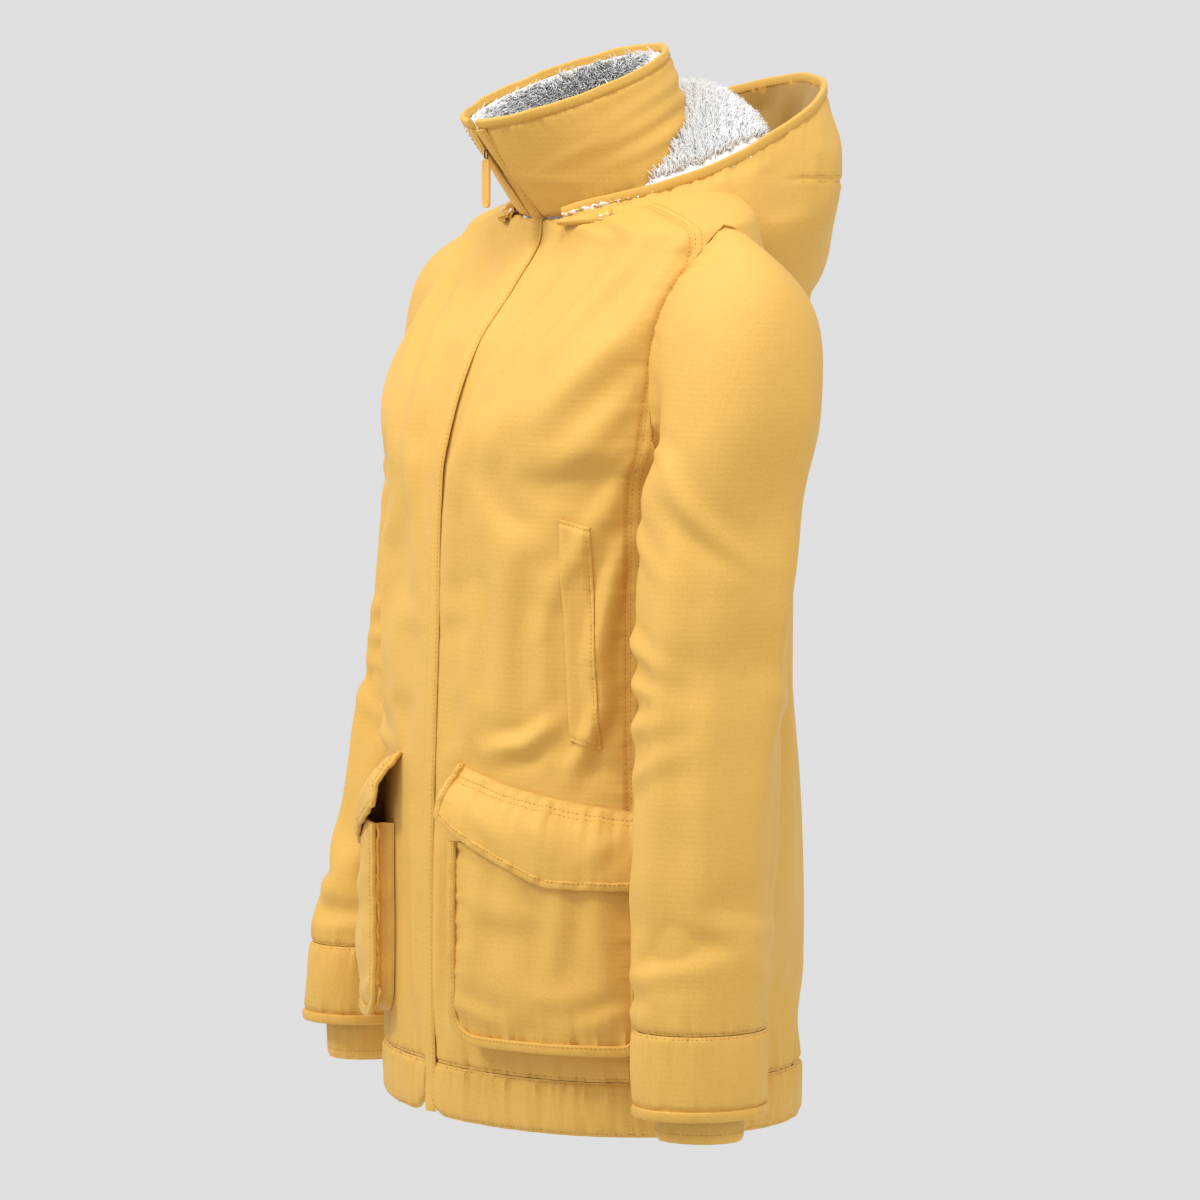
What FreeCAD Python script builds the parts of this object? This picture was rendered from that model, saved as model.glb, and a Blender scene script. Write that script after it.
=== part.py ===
"""Hooded winter parka as an assembly of sewn panels, pockets, a zip and a folded hood.

The coat is drawn standing on its hem: z = 0 at the hem, -Y at the front and +X at the
wearer's left.  Every sub-part then gets the same Placement, which moves the origin to the
top of the hanger loop inside the back neck.  All lengths are in millimetres.
"""
import FreeCAD, Part
import math
import os
from FreeCAD import Placement, Rotation, Vector

doc = FreeCAD.newDocument("parka")
sheet = doc.addObject("Spreadsheet::Sheet", "dimensions")

# ---------------------------------------------------------------- driving dimensions
# Horizontal sections of the coat body from the hem to the neck seam.
BODY_FIELDS = ("height", "half_width", "centre", "front", "back", "tilt", "power", "lift")
BODY_LEVELS = {
    "hem": (0, 200, 0, 147, 145, 0, 2.15, 0),
    "hip": (180, 198, 0, 149, 142, 0, 2.2, 0),
    "waist": (370, 190, 0, 144, 134, 0, 2.3, 0),
    "bust": (500, 188, 0, 140, 128, 0, 2.5, 0),
    "armpit": (532, 200, 0, 134, 124, 0, 2.6, 0),
    "across": (600, 200, 2, 112, 112, 0, 2.6, 0),
    "upper": (652, 194, 8, 84, 88, 0.05, 2.5, 0),
    "shoulder": (686, 184, 15, 68, 72, 0.15, 2.4, 0.5),
    "slope": (706, 128, 18, 70, 68, 0.25, 2.2, 0.8),
    "neck": (716, 82, 20, 72, 66, 0.33, 2.0, 0),
}
# The funnel collar leans forward from the neck seam to its rim.
COLLAR_LEVELS = {
    "collar_base": (716.6, 81.5, 19.5, 71.5, 66, 0.33, 2.0, 0),
    "collar_middle": (761.9, 77, -2, 76, 74, 0.345, 2.0, 0),
    "collar_top": (808, 75, -22, 82, 82, 0.36, 2.0, 0),
}
# The hood lies folded back behind the neck as a deep cowl, open at the top.
HOOD_FIELDS = ("height", "start", "half_width", "depth")
HOOD_LEVELS = {
    "hood_bottom": (618, 120, 62, 44),
    "hood_low": (650, 108, 92, 76),
    "hood_middle": (710, 97, 112, 103),
    "hood_high": (760, 96, 116, 110),
    "hood_rim": (796, 96, 104, 114),
}
# The sleeve's upper sections fan about the underarm point, then run down to the cuff.
# The wearer's right arm hangs further back than the left: "swing" is by how much.
# Its storm cuff also shows more below the sleeve, by storm_cuff_drop.
FAN_FIELDS = ("angle", "start_x", "start_z", "span", "side_radius", "shift", "swing")
SLEEVE_FAN = {
    "fan_armhole": (1.9, 178.9, 511, 181, 62, 6, 0),
    "fan_cap": (35, 186, 513, 158, 63, 2, 24),
    "fan_bicep": (65, 193, 513, 128, 62, -10, 36),
    "fan_arm": (88, 197, 509, 110, 61, -20, 37),
}
SLEEVE_FIELDS = ("height", "centre_x", "centre_y", "radius_x", "radius_y", "swing")
SLEEVE_LEVELS = {
    "sleeve_arm": (400, 256, -34, 53, 60, 43),
    "sleeve_elbow": (250, 268, -50, 50, 56, 34),
    "sleeve_cuff": (98, 280, -61, 46, 52, 10),
    "sleeve_edge": (34, 283, -63, 45, 51, 6),
}
DIMENSIONS = {
    "shell_thickness": 2.0,
    "lining_outer": -4.6,
    "lining_inner": -8.0,
    "hem_band_height": 42.0,
    "seam_gap": 0.4,
    "side_seam_angle": 64.0,
    "yoke_seam_angle": 69.0,
    "lining_front_angle": 7.0,
    "collar_gap_angle": 5.4,
    "collar_lining_angle": 10.5,
    "rim_height": 7.0,
    "shoulder_x": 184.0,
    "shoulder_z": 692.0,
    "underarm_x": 178.0,
    "underarm_z": 508.0,
    "cuff_band_top": 97.5,
    "cuff_band_bottom": 41.5,
    "cuff_edge_bottom": 34.0,
    "storm_cuff_top": 92.0,
    "storm_cuff_bottom": 14.0,
    "storm_cuff_drop": 12.0,
    "storm_cuff_radius": 33.0,
    "storm_cuff_thickness": 2.0,
    "pocket_front_angle": 17.0,
    "pocket_side_angle": 66.5,
    "pocket_bottom": 66.0,
    "pocket_top": 222.0,
    "pocket_depth": 16.0,
    "binding_width": 8.0,
    "binding_thickness": 1.6,
    "flap_front_angle": 13.0,
    "flap_side_angle": 67.5,
    "flap_top": 268.0,
    "flap_shoulder": 248.0,
    "flap_bottom": 194.0,
    "flap_tilt": -0.21,
    "flap_middle_x": 105.0,
    "welt_length": 170.0,
    "welt_width": 26.0,
    "welt_thickness": 2.2,
    "welt_lift": 1.9,
    "welt_angle": 50.0,
    "welt_middle": 387.0,
    "zip_bottom": 22.0,
    "slider_length": 12.0,
    "slider_width": 8.4,
    "plate_thickness": 1.4,
    "plate_gap": 4.6,
    "neck_width": 1.2,
    "neck_length": 4.0,
    "bail_radius": 0.8,
    "bail_height": 2.8,
    "bail_span": 6.0,
    "tab_width": 14.0,
    "tab_length": 40.0,
    "tab_thickness": 1.6,
    "tab_eye_radius": 1.9,
    "tab_eye_bore": 1.0,
    "tab_eye_width": 4.2,
    "tab_neck": 7.0,
    "snap_radius": 6.5,
    "snap_height": 3.2,
    "loop_half_width": 26.0,
    "loop_height": 16.0,
    "loop_strap": 6.0,
    "loop_thickness": 1.4,
    "loop_y": 62.0,
    "loop_z": 744.0,
    "corner_length": 44.0,
    "corner_width": 30.0,
    "corner_thickness": 4.0,
    "corner_x": 101.0,
    "corner_y": -6.0,
    "corner_z": 721.0,
    "corner_tilt": 24.0,
    "slider_place": 20.0,
    "hood_wall_end": 107.0,
    "hood_wall_depth": 20.0,
    "hood_seam_x": 36.0,
    "facing_width": 150.0,
    "facing_depth": 7.0,
    "facing_height": 60.0,
    "facing_low": 692.0,
    "hood_binding_out": 0.8,
    "hood_binding_in": -5.0,
    "hood_binding_height": 8.0,
    "plate_depth": -8.3,
    "post_width": 1.0,
    "post_length": 2.4,
    "placket_start": 2.0,
    "placket_end": 15.0,
    "collar_strip_start": 5.0,
    "collar_strip_end": 14.0,
    "strip_inner": 0.5,
    "strip_outer": 2.3,
    "tape_start": 2.9,
    "tape_end": 10.0,
    "tape_inner": -5.6,
    "tape_outer": -4.4,
    "coil_start": 1.1,
    "coil_end": 2.6,
    "coil_inner": -6.2,
    "coil_outer": -3.6,
    "storm_flap_right": -20.0,
    "storm_flap_left": 30.0,
    "storm_flap_inner": -12.0,
    "storm_flap_outer": -10.2,
    "chin_guard_height": 38.0,
    "chin_guard_angle": -24.0,
    "chin_guard_inner": -9.8,
    "chin_guard_outer": -8.2,
    "bag_low": 262.0,
    "bag_high": 468.0,
    "bag_front_angle": 18.0,
    "bag_side_angle": 52.0,
    "bag_inner": -4.2,
    "bag_outer": -2.4,
    "zip_box_width": 5.4,
    "zip_box_depth": 5.0,
    "zip_box_height": 7.0,
    "end_stop_width": 1.6,
    "end_stop_length": 2.6,
    "end_stop_depth": 2.4,
}


def fill_sheet():
    """Write every driving dimension to the sheet, one named cell each."""
    rows = dict(DIMENSIONS)
    groups = (
        (BODY_LEVELS, BODY_FIELDS),
        (COLLAR_LEVELS, BODY_FIELDS),
        (HOOD_LEVELS, HOOD_FIELDS),
        (SLEEVE_FAN, FAN_FIELDS),
        (SLEEVE_LEVELS, SLEEVE_FIELDS),
    )
    for levels, fields in groups:
        for level, values in levels.items():
            for field, value in zip(fields, values):
                rows[f"{level}_{field}"] = value
    for number, (alias, value) in enumerate(rows.items(), start=1):
        sheet.set(f"A{number}", alias)
        sheet.set(f"B{number}", str(value))
        sheet.setAlias(f"B{number}", alias)
    doc.recompute()


fill_sheet()


def size(alias):
    """A driving dimension as a plain number."""
    return float(getattr(sheet, alias))


SEAM = size("seam_gap")
SHELL = size("shell_thickness")
TO_LOOP = Placement(Vector(0, -size("loop_y"), -size("loop_z")), Rotation())
nodes = []


# ---------------------------------------------------------------- helpers for sewn panels
def level(name, fields):
    """One named level of the sheet as a dictionary."""
    return {field: size(f"{name}_{field}") for field in fields}


BODY = [level(name, BODY_FIELDS) for name in BODY_LEVELS]
COLLAR = [level(name, BODY_FIELDS) for name in COLLAR_LEVELS]


def section_at(levels, height):
    """The section at a height, straight between the two named levels around it."""
    for low, high in zip(levels, levels[1:]):
        if height <= high["height"]:
            break
    share = (height - low["height"]) / (high["height"] - low["height"])
    return {key: low[key] + (high[key] - low[key]) * share for key in low}


def surface_point(section, angle, offset, height=None):
    """A point on a section: angle 0 is the centre front and 90 the wearer's left side."""
    sine, cosine = math.sin(math.radians(angle)), math.cos(math.radians(angle))
    power = section["power"]
    reach = (abs(sine) ** power + abs(cosine) ** power) ** (-1 / power)
    depth = section["front"] if cosine > 0 else section["back"]
    x = (section["half_width"] + offset) * sine * reach
    y = section["centre"] - (depth + offset) * cosine * reach
    z = section["height"] if height is None else height
    return Vector(x, y, z + section["tilt"] * y + section["lift"] * offset)


def arc_wire(section, start, end, inner, outer, height=None):
    """The closed outline of a panel on one section: inner curve, end, outer curve, end."""
    steps = max(3, math.ceil(abs(end - start) / 8))
    angles = [start + (end - start) * k / steps for k in range(steps + 1)]
    rims = []
    for offset in (inner, outer):
        curve = Part.BSplineCurve()
        curve.interpolate([surface_point(section, a, offset, height) for a in angles])
        rims.append(curve.toShape())
    first, second = rims
    close_end = Part.LineSegment(first.Vertexes[-1].Point, second.Vertexes[-1].Point).toShape()
    close_start = Part.LineSegment(second.Vertexes[0].Point, first.Vertexes[0].Point).toShape()
    return Part.Wire([first, close_end, second, close_start])


def heights_between(levels, low, high):
    """The two end heights and every named level between them."""
    middle = [s["height"] for s in levels if low + 1 < s["height"] < high - 1]
    return [low] + middle + [high]


def panel(levels, low, high, start, end, inner, outer):
    """A sewn panel between two heights.  start and end are angles or functions of height."""
    wires = []
    for height in heights_between(levels, low, high):
        first = start(height) if callable(start) else start
        last = end(height) if callable(end) else end
        wires.append(arc_wire(section_at(levels, height), first, last, inner, outer))
    return Part.makeLoft(wires, True, True)


def front_seam(height):
    """The angle where the front panels end: the side seam, then the yoke seam."""
    share = (height - 600) / (652 - 600)
    share = min(1.0, max(0.0, share))
    return size("side_seam_angle") + (size("yoke_seam_angle") - size("side_seam_angle")) * share


def mirrored(shape):
    """The same piece on the wearer's right."""
    return shape.mirror(Vector(0, 0, 0), Vector(1, 0, 0))


def add_shape(label, shape):
    """Add a sewn piece whose shape is set here."""
    piece = doc.addObject("Part::Feature", label)
    piece.Label = label
    piece.Shape = shape
    piece.Placement = TO_LOOP
    nodes.append(piece)
    return piece


def add_pair(name, shape):
    """Add a piece on the wearer's left and its mirror image on the right."""
    add_shape(f"left_{name}", shape)
    add_shape(f"right_{name}", mirrored(shape))


# ---------------------------------------------------------------- coat body
def armhole_cutter():
    """Everything outside the two armhole planes."""
    tip = Vector(size("shoulder_x"), 0, size("shoulder_z"))
    under = Vector(size("underarm_x"), 0, size("underarm_z"))
    lean = math.degrees(math.atan2(under.x - tip.x, tip.z - under.z))
    box = Part.makeBox(200, 600, 350, Vector(0, -300, -(tip - under).Length))
    box.Placement = Placement(tip, Rotation(Vector(0, 1, 0), -lean))
    return Part.makeCompound([box, mirrored(box)])


ARMHOLES = armhole_cutter()
NECK_HEIGHT = size("neck_height")
YOKE_HEIGHT = size("across_height")


def body_panels():
    """Outer fronts, back, yoke and hem bands, then the pile lining behind them."""
    band = size("hem_band_height")
    gap = 0.15
    side = size("side_seam_angle")
    front = panel(BODY, band + SEAM, NECK_HEIGHT, 0.35, lambda z: front_seam(z) - gap, -SHELL, 0)
    add_pair("front_panel", front.cut(ARMHOLES))
    back = panel(BODY, band + SEAM, YOKE_HEIGHT - SEAM, side + gap, 360 - side - gap, -SHELL, 0)
    add_shape("back_panel", back.cut(ARMHOLES))
    yoke = panel(
        BODY, YOKE_HEIGHT, NECK_HEIGHT,
        lambda z: front_seam(z) + gap, lambda z: 360 - front_seam(z) - gap, -SHELL, 0,
    )
    add_shape("shoulder_yoke", yoke.cut(ARMHOLES))
    add_pair("front_hem_band", panel(BODY, 0, band, 0.35, side - gap, -SHELL, 0))
    add_shape("back_hem_band", panel(BODY, 0, band, side + gap, 360 - side - gap, -SHELL, 0))

    inner, outer = size("lining_inner"), size("lining_outer")
    start = size("lining_front_angle")
    front = panel(BODY, 24, NECK_HEIGHT, start, lambda z: front_seam(z) - gap, inner, outer)
    add_pair("front_lining", front.cut(ARMHOLES))
    back = panel(BODY, 24, YOKE_HEIGHT - SEAM, side + gap, 360 - side - gap, inner, outer)
    add_shape("back_lining", back.cut(ARMHOLES))
    yoke = panel(
        BODY, YOKE_HEIGHT, NECK_HEIGHT,
        lambda z: front_seam(z) + gap, lambda z: 360 - front_seam(z) - gap, inner, outer,
    )
    add_shape("yoke_lining", yoke.cut(ARMHOLES))


# ---------------------------------------------------------------- collar
def collar():
    """Outer funnel, pile lining, rim binding and the chin guard inside the wearer's right."""
    base, top = size("collar_base_height"), size("collar_top_height")
    gap, soft = size("collar_gap_angle"), size("collar_lining_angle")
    add_shape("collar_outer", panel(COLLAR, base, top, gap, 360 - gap, -SHELL, 0))
    add_shape("collar_lining", panel(COLLAR, base, top, soft, 360 - soft, -7.6, -3.4))
    rim = dict(section_at(COLLAR, top))
    wires = [
        arc_wire(rim, gap, 360 - gap, -7.6, 0.6, height=top + lift)
        for lift in (SEAM, size("rim_height"))
    ]
    add_shape("collar_rim_binding", Part.makeLoft(wires, True, True))
    low, inner, outer = top - size("chin_guard_height"), size("chin_guard_inner"), size("chin_guard_outer")
    guard = panel(COLLAR, low, top - 1, size("chin_guard_angle"), -soft, inner, outer)
    add_shape("chin_guard", guard)


# ---------------------------------------------------------------- centre front and zip
def centre_line():
    """Centre front points from the hem to the collar rim, as (y, z) pairs."""
    line = []
    for section in BODY + COLLAR[1:]:
        point = surface_point(section, 0, 0)
        line.append((point.y, point.z))
    return line


def centre_strip(low, high, inner, outer, x_start, x_end):
    """A strip that follows the centre front line between two heights."""
    line = centre_line()
    kept = [at_height(line, low)]
    kept += [point for point in line if low + 1 < point[1] < high - 1]
    kept += [at_height(line, high)]
    rims = []
    for offset in (inner, outer):
        rim = []
        for index, (y, z) in enumerate(kept):
            before, after = kept[max(index - 1, 0)], kept[min(index + 1, len(kept) - 1)]
            run = Vector(0, after[0] - before[0], after[1] - before[1]).normalize()
            rim.append(Vector(x_start, y - offset * run.z, z + offset * run.y))
        rims.append(rim)
    outline = rims[0] + rims[1][::-1]
    face = Part.Face(Part.makePolygon(outline + outline[:1]))
    return face.extrude(Vector(x_end - x_start, 0, 0))


def at_height(line, height):
    """The point of the centre front line at a height."""
    for (y_low, z_low), (y_high, z_high) in zip(line, line[1:]):
        if height <= z_high:
            break
    share = (height - z_low) / (z_high - z_low)
    return y_low + (y_high - y_low) * share, height


NECK_FRONT = surface_point(COLLAR[0], 0, 0)
RIM_FRONT = surface_point(COLLAR[-1], 0, 0)


def centre_front():
    """Placket strips outside, zip tapes and coil rows behind them, storm flap inside."""
    neck_z, rim_z = NECK_FRONT.z, RIM_FRONT.z
    low, high = size("zip_bottom"), rim_z - 3
    strip = (size("strip_inner"), size("strip_outer"))
    placket = centre_strip(3, neck_z - 3, *strip, size("placket_start"), size("placket_end"))
    add_shape("front_placket_strip", placket)
    collar_strip = (size("collar_strip_start"), size("collar_strip_end"))
    add_shape("collar_placket_strip", centre_strip(neck_z + 3, rim_z - 1, *strip, *collar_strip))
    layers = {
        "zip_tape": ("tape", low),
        "zip_teeth": ("coil", low + 8),
    }
    for name, (layer, bottom) in layers.items():
        limits = [size(f"{layer}_{part}") for part in ("inner", "outer", "start", "end")]
        add_pair(name, centre_strip(bottom, high, *limits))
    limits = [size(f"storm_flap_{part}") for part in ("inner", "outer", "right", "left")]
    add_shape("storm_flap", centre_strip(low, neck_z - 6, *limits))


# ---------------------------------------------------------------- sleeves
def sleeve_wires(offset, low, swing):
    """Closed elliptical sections from the armhole to a height near the cuff."""
    wires = []
    for name in SLEEVE_FAN:
        fan = level(name, FAN_FIELDS)
        turn = math.radians(fan["angle"])
        along = Vector(math.sin(turn), 0, math.cos(turn))
        start = Vector(fan["start_x"], fan["shift"] + swing * fan["swing"], fan["start_z"])
        centre = start + along * (fan["span"] / 2)
        wires.append(ellipse(centre, along, fan["span"] / 2 + offset, fan["side_radius"] + offset))
    for section in sleeve_sections(low):
        wires.append(level_ring(section, offset, swing))
    return wires[::-1]


def level_ring(section, offset, swing):
    """One level section of a sleeve; swing is 1 for the wearer's right and 0 for the left."""
    centre_y = section["centre_y"] + swing * section["swing"]
    centre = Vector(section["centre_x"], centre_y, section["height"])
    side, front = section["radius_x"] + offset, section["radius_y"] + offset
    return ellipse(centre, Vector(1, 0, 0), side, front)


def sleeve_sections(low, high=450):
    """Level sleeve sections between two heights, the lower one included."""
    levels = [level(name, SLEEVE_FIELDS) for name in SLEEVE_LEVELS][::-1]
    kept = [s for s in levels if low + 1 < s["height"] < high - 1]
    return ([section_at(levels, low)] + kept)[::-1]


def ellipse(centre, along, reach, depth):
    """An elliptical outline with one axis along a direction and the other along Y."""
    across = Vector(0, 1, 0)
    points = []
    for step in range(24):
        angle = math.radians(step * 15)
        points.append(centre + along * (reach * math.cos(angle)) + across * (depth * math.sin(angle)))
    curve = Part.BSplineCurve()
    curve.interpolate(points, PeriodicFlag=True)
    return Part.Wire([curve.toShape()])


def tube(wires_outer, wires_inner):
    """A hollow sleeve between two sets of sections."""
    return Part.makeLoft(wires_outer, True, True).cut(Part.makeLoft(wires_inner, True, True))


def ring(low, high, outer, inner, swing):
    """A short level ring that follows the sleeve between two heights."""
    levels = [level(name, SLEEVE_FIELDS) for name in SLEEVE_LEVELS][::-1]
    sections = [section_at(levels, height) for height in (low, high)]
    return tube(
        [level_ring(section, outer, swing) for section in sections],
        [level_ring(section, inner, swing) for section in sections],
    )


def sleeves():
    """Sleeve shell, lining, cuff band, bound cuff edge and the storm cuff inside it."""
    top = size("cuff_band_top") + SEAM
    band_low = size("cuff_band_bottom")
    cuff = level("sleeve_edge", SLEEVE_FIELDS)
    radius, wall = size("storm_cuff_radius"), size("storm_cuff_thickness")
    for swing in (0, 1):
        shapes = {
            "sleeve": tube(sleeve_wires(0, top, swing), sleeve_wires(-SHELL, top, swing)),
            "sleeve_lining": tube(sleeve_wires(-3.2, top, swing), sleeve_wires(-6.4, top, swing)),
            "cuff_band": ring(band_low, top - SEAM, 0.6, -2.4, swing),
            "cuff_binding": ring(size("cuff_edge_bottom"), band_low - SEAM, 1.4, -3.2, swing),
        }
        low = size("storm_cuff_bottom") - swing * size("storm_cuff_drop")
        height = size("storm_cuff_top") - low
        middle = Vector(cuff["centre_x"] - 1, cuff["centre_y"] + 1 + swing * cuff["swing"], low)
        outer = Part.makeCone(radius, radius + 3, height, middle)
        inner = Part.makeCone(radius - wall, radius + 3 - wall, height, middle)
        shapes["storm_cuff"] = outer.cut(inner)
        for name, shape in shapes.items():
            if swing:
                add_shape(f"right_{name}", mirrored(shape))
            else:
                add_shape(f"left_{name}", shape)


# ---------------------------------------------------------------- pockets
def tilted_panel(rows, start, end):
    """A panel whose rows are (height, tilt, inner, outer): each lies in a sideways slope."""
    wires = []
    for height, tilt, inner, outer in rows:
        wires.append(sloping_wire(height, tilt, start, end, inner, outer))
    return Part.makeLoft(wires, True, True)


def sloping_wire(height, tilt, start, end, inner, outer):
    """The outline of a panel where the plane z = height + tilt * x meets the body."""
    steps = math.ceil((end - start) / 8)
    rims = []
    for offset in (inner, outer):
        points = []
        for step in range(steps + 1):
            angle = start + (end - start) * step / steps
            first = surface_point(section_at(BODY, height), angle, offset)
            near = section_at(BODY, height + tilt * first.x)
            point = surface_point(near, angle, offset)
            points.append(Vector(point.x, point.y, height + tilt * point.x))
        curve = Part.BSplineCurve()
        curve.interpolate(points)
        rims.append(curve.toShape())
    first, second = rims
    close_end = Part.LineSegment(first.Vertexes[-1].Point, second.Vertexes[-1].Point).toShape()
    close_start = Part.LineSegment(second.Vertexes[0].Point, first.Vertexes[0].Point).toShape()
    return Part.Wire([first, close_end, second, close_start])


def patch_pockets():
    """Bellows pockets: front, gusset with a bottom, bound edge, and a bound flap."""
    start, end = size("pocket_front_angle"), size("pocket_side_angle")
    low, high, depth = size("pocket_bottom"), size("pocket_top"), size("pocket_depth")
    edge, thick = size("binding_width"), size("binding_thickness")
    add_pair("patch_pocket", panel(BODY, low, high, start, end, depth, depth + 1.8))
    side_low = low + SHELL + SEAM
    strips = [
        panel(BODY, low, low + SHELL, start, end, 0.6, depth - 0.5),
        panel(BODY, side_low, high, start, start + 0.8, 0.6, depth - 0.5),
        panel(BODY, side_low, high, end - 0.8, end, 0.6, depth - 0.5),
    ]
    add_pair("pocket_gusset", Part.makeCompound(strips))
    turn = math.degrees(edge / 170)
    inner, outer = depth + 2.2, depth + 2.2 + thick
    side_low = low + edge + SEAM
    strips = [
        panel(BODY, low, low + edge, start, end, inner, outer),
        panel(BODY, side_low, high, start, start + turn, inner, outer),
        panel(BODY, side_low, high, end - turn, end, inner, outer),
    ]
    add_pair("pocket_binding", Part.makeCompound(strips))

    start, end = size("flap_front_angle"), size("flap_side_angle")
    clear = outer + 1.2
    top, bend, bottom = size("flap_top"), size("flap_shoulder"), size("flap_bottom")
    tilt = size("flap_tilt")
    # The flap's stated heights are those at the middle of its width.
    level_up = -tilt * size("flap_middle_x")
    rows = [
        (bottom + edge, 0, clear, clear + 2),
        (bend + level_up, tilt, clear, clear + 2),
        (top + level_up, tilt, 0.9, 2.9),
    ]
    add_pair("pocket_flap", tilted_panel(rows, start, end))
    rows = [(z, 0, clear - 0.4, clear + 2.4) for z in (bottom, bottom + edge - SEAM)]
    add_pair("flap_binding", tilted_panel(rows, start, end))


def hand_pocket_bags():
    """Flat bags of the slanted hand pockets, between the shell and the lining."""
    parts = ("low", "high", "front_angle", "side_angle", "inner", "outer")
    add_pair("hand_pocket_bag", panel(BODY, *[size(f"bag_{part}") for part in parts]))


# ---------------------------------------------------------------- hood
def hood_solid(shrink, floor):
    """The folded hood as a solid half bowl behind the neck, shrunk by a wall thickness."""
    wires = []
    for name in HOOD_LEVELS:
        section = level(name, HOOD_FIELDS)
        front = section["start"] + shrink
        side, depth = section["half_width"] - shrink, section["depth"] - 2 * shrink
        points = []
        for step in range(13):
            angle = math.radians(-90 + step * 15)
            points.append(Vector(side * math.sin(angle), front + depth * math.cos(angle), 0))
        height = section["height"] + (floor if name == "hood_bottom" else 0)
        points = [p + Vector(0, 0, height) for p in points]
        curve = Part.BSplineCurve()
        curve.interpolate(points)
        chord = Part.LineSegment(points[-1], points[0]).toShape()
        wires.append(Part.Wire([curve.toShape(), chord]))
    return Part.makeLoft(wires, True, True)


def hood():
    """Three outer panels, satin lining, pile-lined neck wall and the bound rim."""
    seam_x = size("hood_seam_x")
    wall_depth = size("hood_wall_depth")
    shell = hood_solid(0, 0).cut(hood_solid(SHELL, SHELL))
    wall = Part.makeBox(400, wall_depth, 400, Vector(-200, size("hood_wall_end") - wall_depth, 500))
    shell = shell.cut(wall)
    middle = Part.makeBox(2 * seam_x, 400, 400, Vector(-seam_x, 0, 500))
    sides = Part.makeBox(2 * seam_x + SEAM, 400, 400, Vector(-seam_x - SEAM / 2, 0, 500))
    add_shape("hood_centre_panel", shell.common(middle))
    left = Part.makeBox(300, 400, 400, Vector(0, 0, 500))
    add_pair("hood_side_panel", shell.cut(sides).common(left))
    satin = hood_solid(SHELL + 0.5, SHELL + 0.5).cut(hood_solid(SHELL + 1.7, SHELL + 1.7))
    add_shape("hood_lining", satin.cut(wall))
    rim = level("hood_rim", HOOD_FIELDS)
    width = size("facing_width")
    corner = Vector(-width / 2, rim["start"] + 1, size("facing_low"))
    facing = Part.makeBox(width, size("facing_depth"), size("facing_height"), corner)
    add_shape("hood_pile_facing", facing)
    outlines = []
    for grow in (size("hood_binding_out"), size("hood_binding_in")):
        points = []
        for step in range(13):
            angle = math.radians(-90 + step * 15)
            side, depth = rim["half_width"] + grow, rim["depth"] + grow
            points.append(Vector(side * math.sin(angle), rim["start"] + depth * math.cos(angle), 0))
        outlines.append([p + Vector(0, 0, rim["height"] + SEAM) for p in points])
    curves = []
    for points in outlines:
        curve = Part.BSplineCurve()
        curve.interpolate(points)
        curves.append(curve.toShape())
    ends = [
        Part.LineSegment(outlines[0][k], outlines[1][k]).toShape() for k in (-1, 0)
    ]
    face = Part.Face(Part.Wire([curves[0], ends[0], curves[1], ends[1]]))
    binding = face.extrude(Vector(0, 0, size("hood_binding_height"))).cut(wall)
    add_shape("hood_rim_binding", binding)


# ---------------------------------------------------------------- hardware
def origin_plane(body, role):
    """A body's own origin plane."""
    return next(item for item in body.Origin.OriginFeatures if item.Role == role)


def new_body(label, placement):
    """A PartDesign body placed in the coat's own frame and moved to the loop's frame."""
    body = doc.addObject("PartDesign::Body", label)
    body.Label = label
    body.Placement = TO_LOOP.multiply(placement)
    nodes.append(body)
    return body


def new_sketch(body, name, role="XY_Plane"):
    """A sketch on one of a body's own planes."""
    sketch = body.newObject("Sketcher::SketchObject", name)
    sketch.AttachmentSupport = [(origin_plane(body, role), "")]
    sketch.MapMode = "FlatFace"
    return sketch


def rectangle(sketch, x_size, y_size, x_high=None, y_high=None):
    """Draw a rectangle whose sides are expressions; it is centred unless the top right corner is given."""
    import Sketcher

    corners = [Vector(-1, -1, 0), Vector(1, -1, 0), Vector(1, 1, 0), Vector(-1, 1, 0)]
    first = sketch.GeometryCount
    for a, b in zip(corners, corners[1:] + corners[:1]):
        sketch.addGeometry(Part.LineSegment(a, b))
    for k in range(4):
        sketch.addConstraint(Sketcher.Constraint("Coincident", first + k, 2, first + (k + 1) % 4, 1))
    for k, kind in enumerate(("Horizontal", "Vertical", "Horizontal", "Vertical")):
        sketch.addConstraint(Sketcher.Constraint(kind, first + k))
    dims = (
        ("DistanceX", (first, 1, first, 2), x_size),
        ("DistanceY", (first + 1, 1, first + 1, 2), y_size),
        ("DistanceX", (-1, 1, first, 2), x_high or f"({x_size}) / 2"),
        ("DistanceY", (-1, 1, first + 1, 2), y_high or f"({y_size}) / 2"),
    )
    for kind, places, expression in dims:
        index = sketch.addConstraint(Sketcher.Constraint(kind, *places, 1.0))
        sketch.setExpression(f"Constraints[{index}]", expression)


def pad(body, sketch, length, name, middle=False):
    """Pad a sketch by an expression."""
    feature = body.newObject("PartDesign::Pad", name)
    feature.Profile = sketch
    feature.Midplane = middle
    feature.setExpression("Length", length)
    return feature


def collar_frame(along, offset):
    """A frame on the centre front of the collar: X across, Y up the collar, Z outwards."""
    run = (RIM_FRONT - NECK_FRONT).normalize()
    out = Vector(1, 0, 0).cross(run)
    place = RIM_FRONT - run * along + out * offset
    return Placement(place, Rotation(Vector(1, 0, 0), run, out, "XYZ"))


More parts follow.
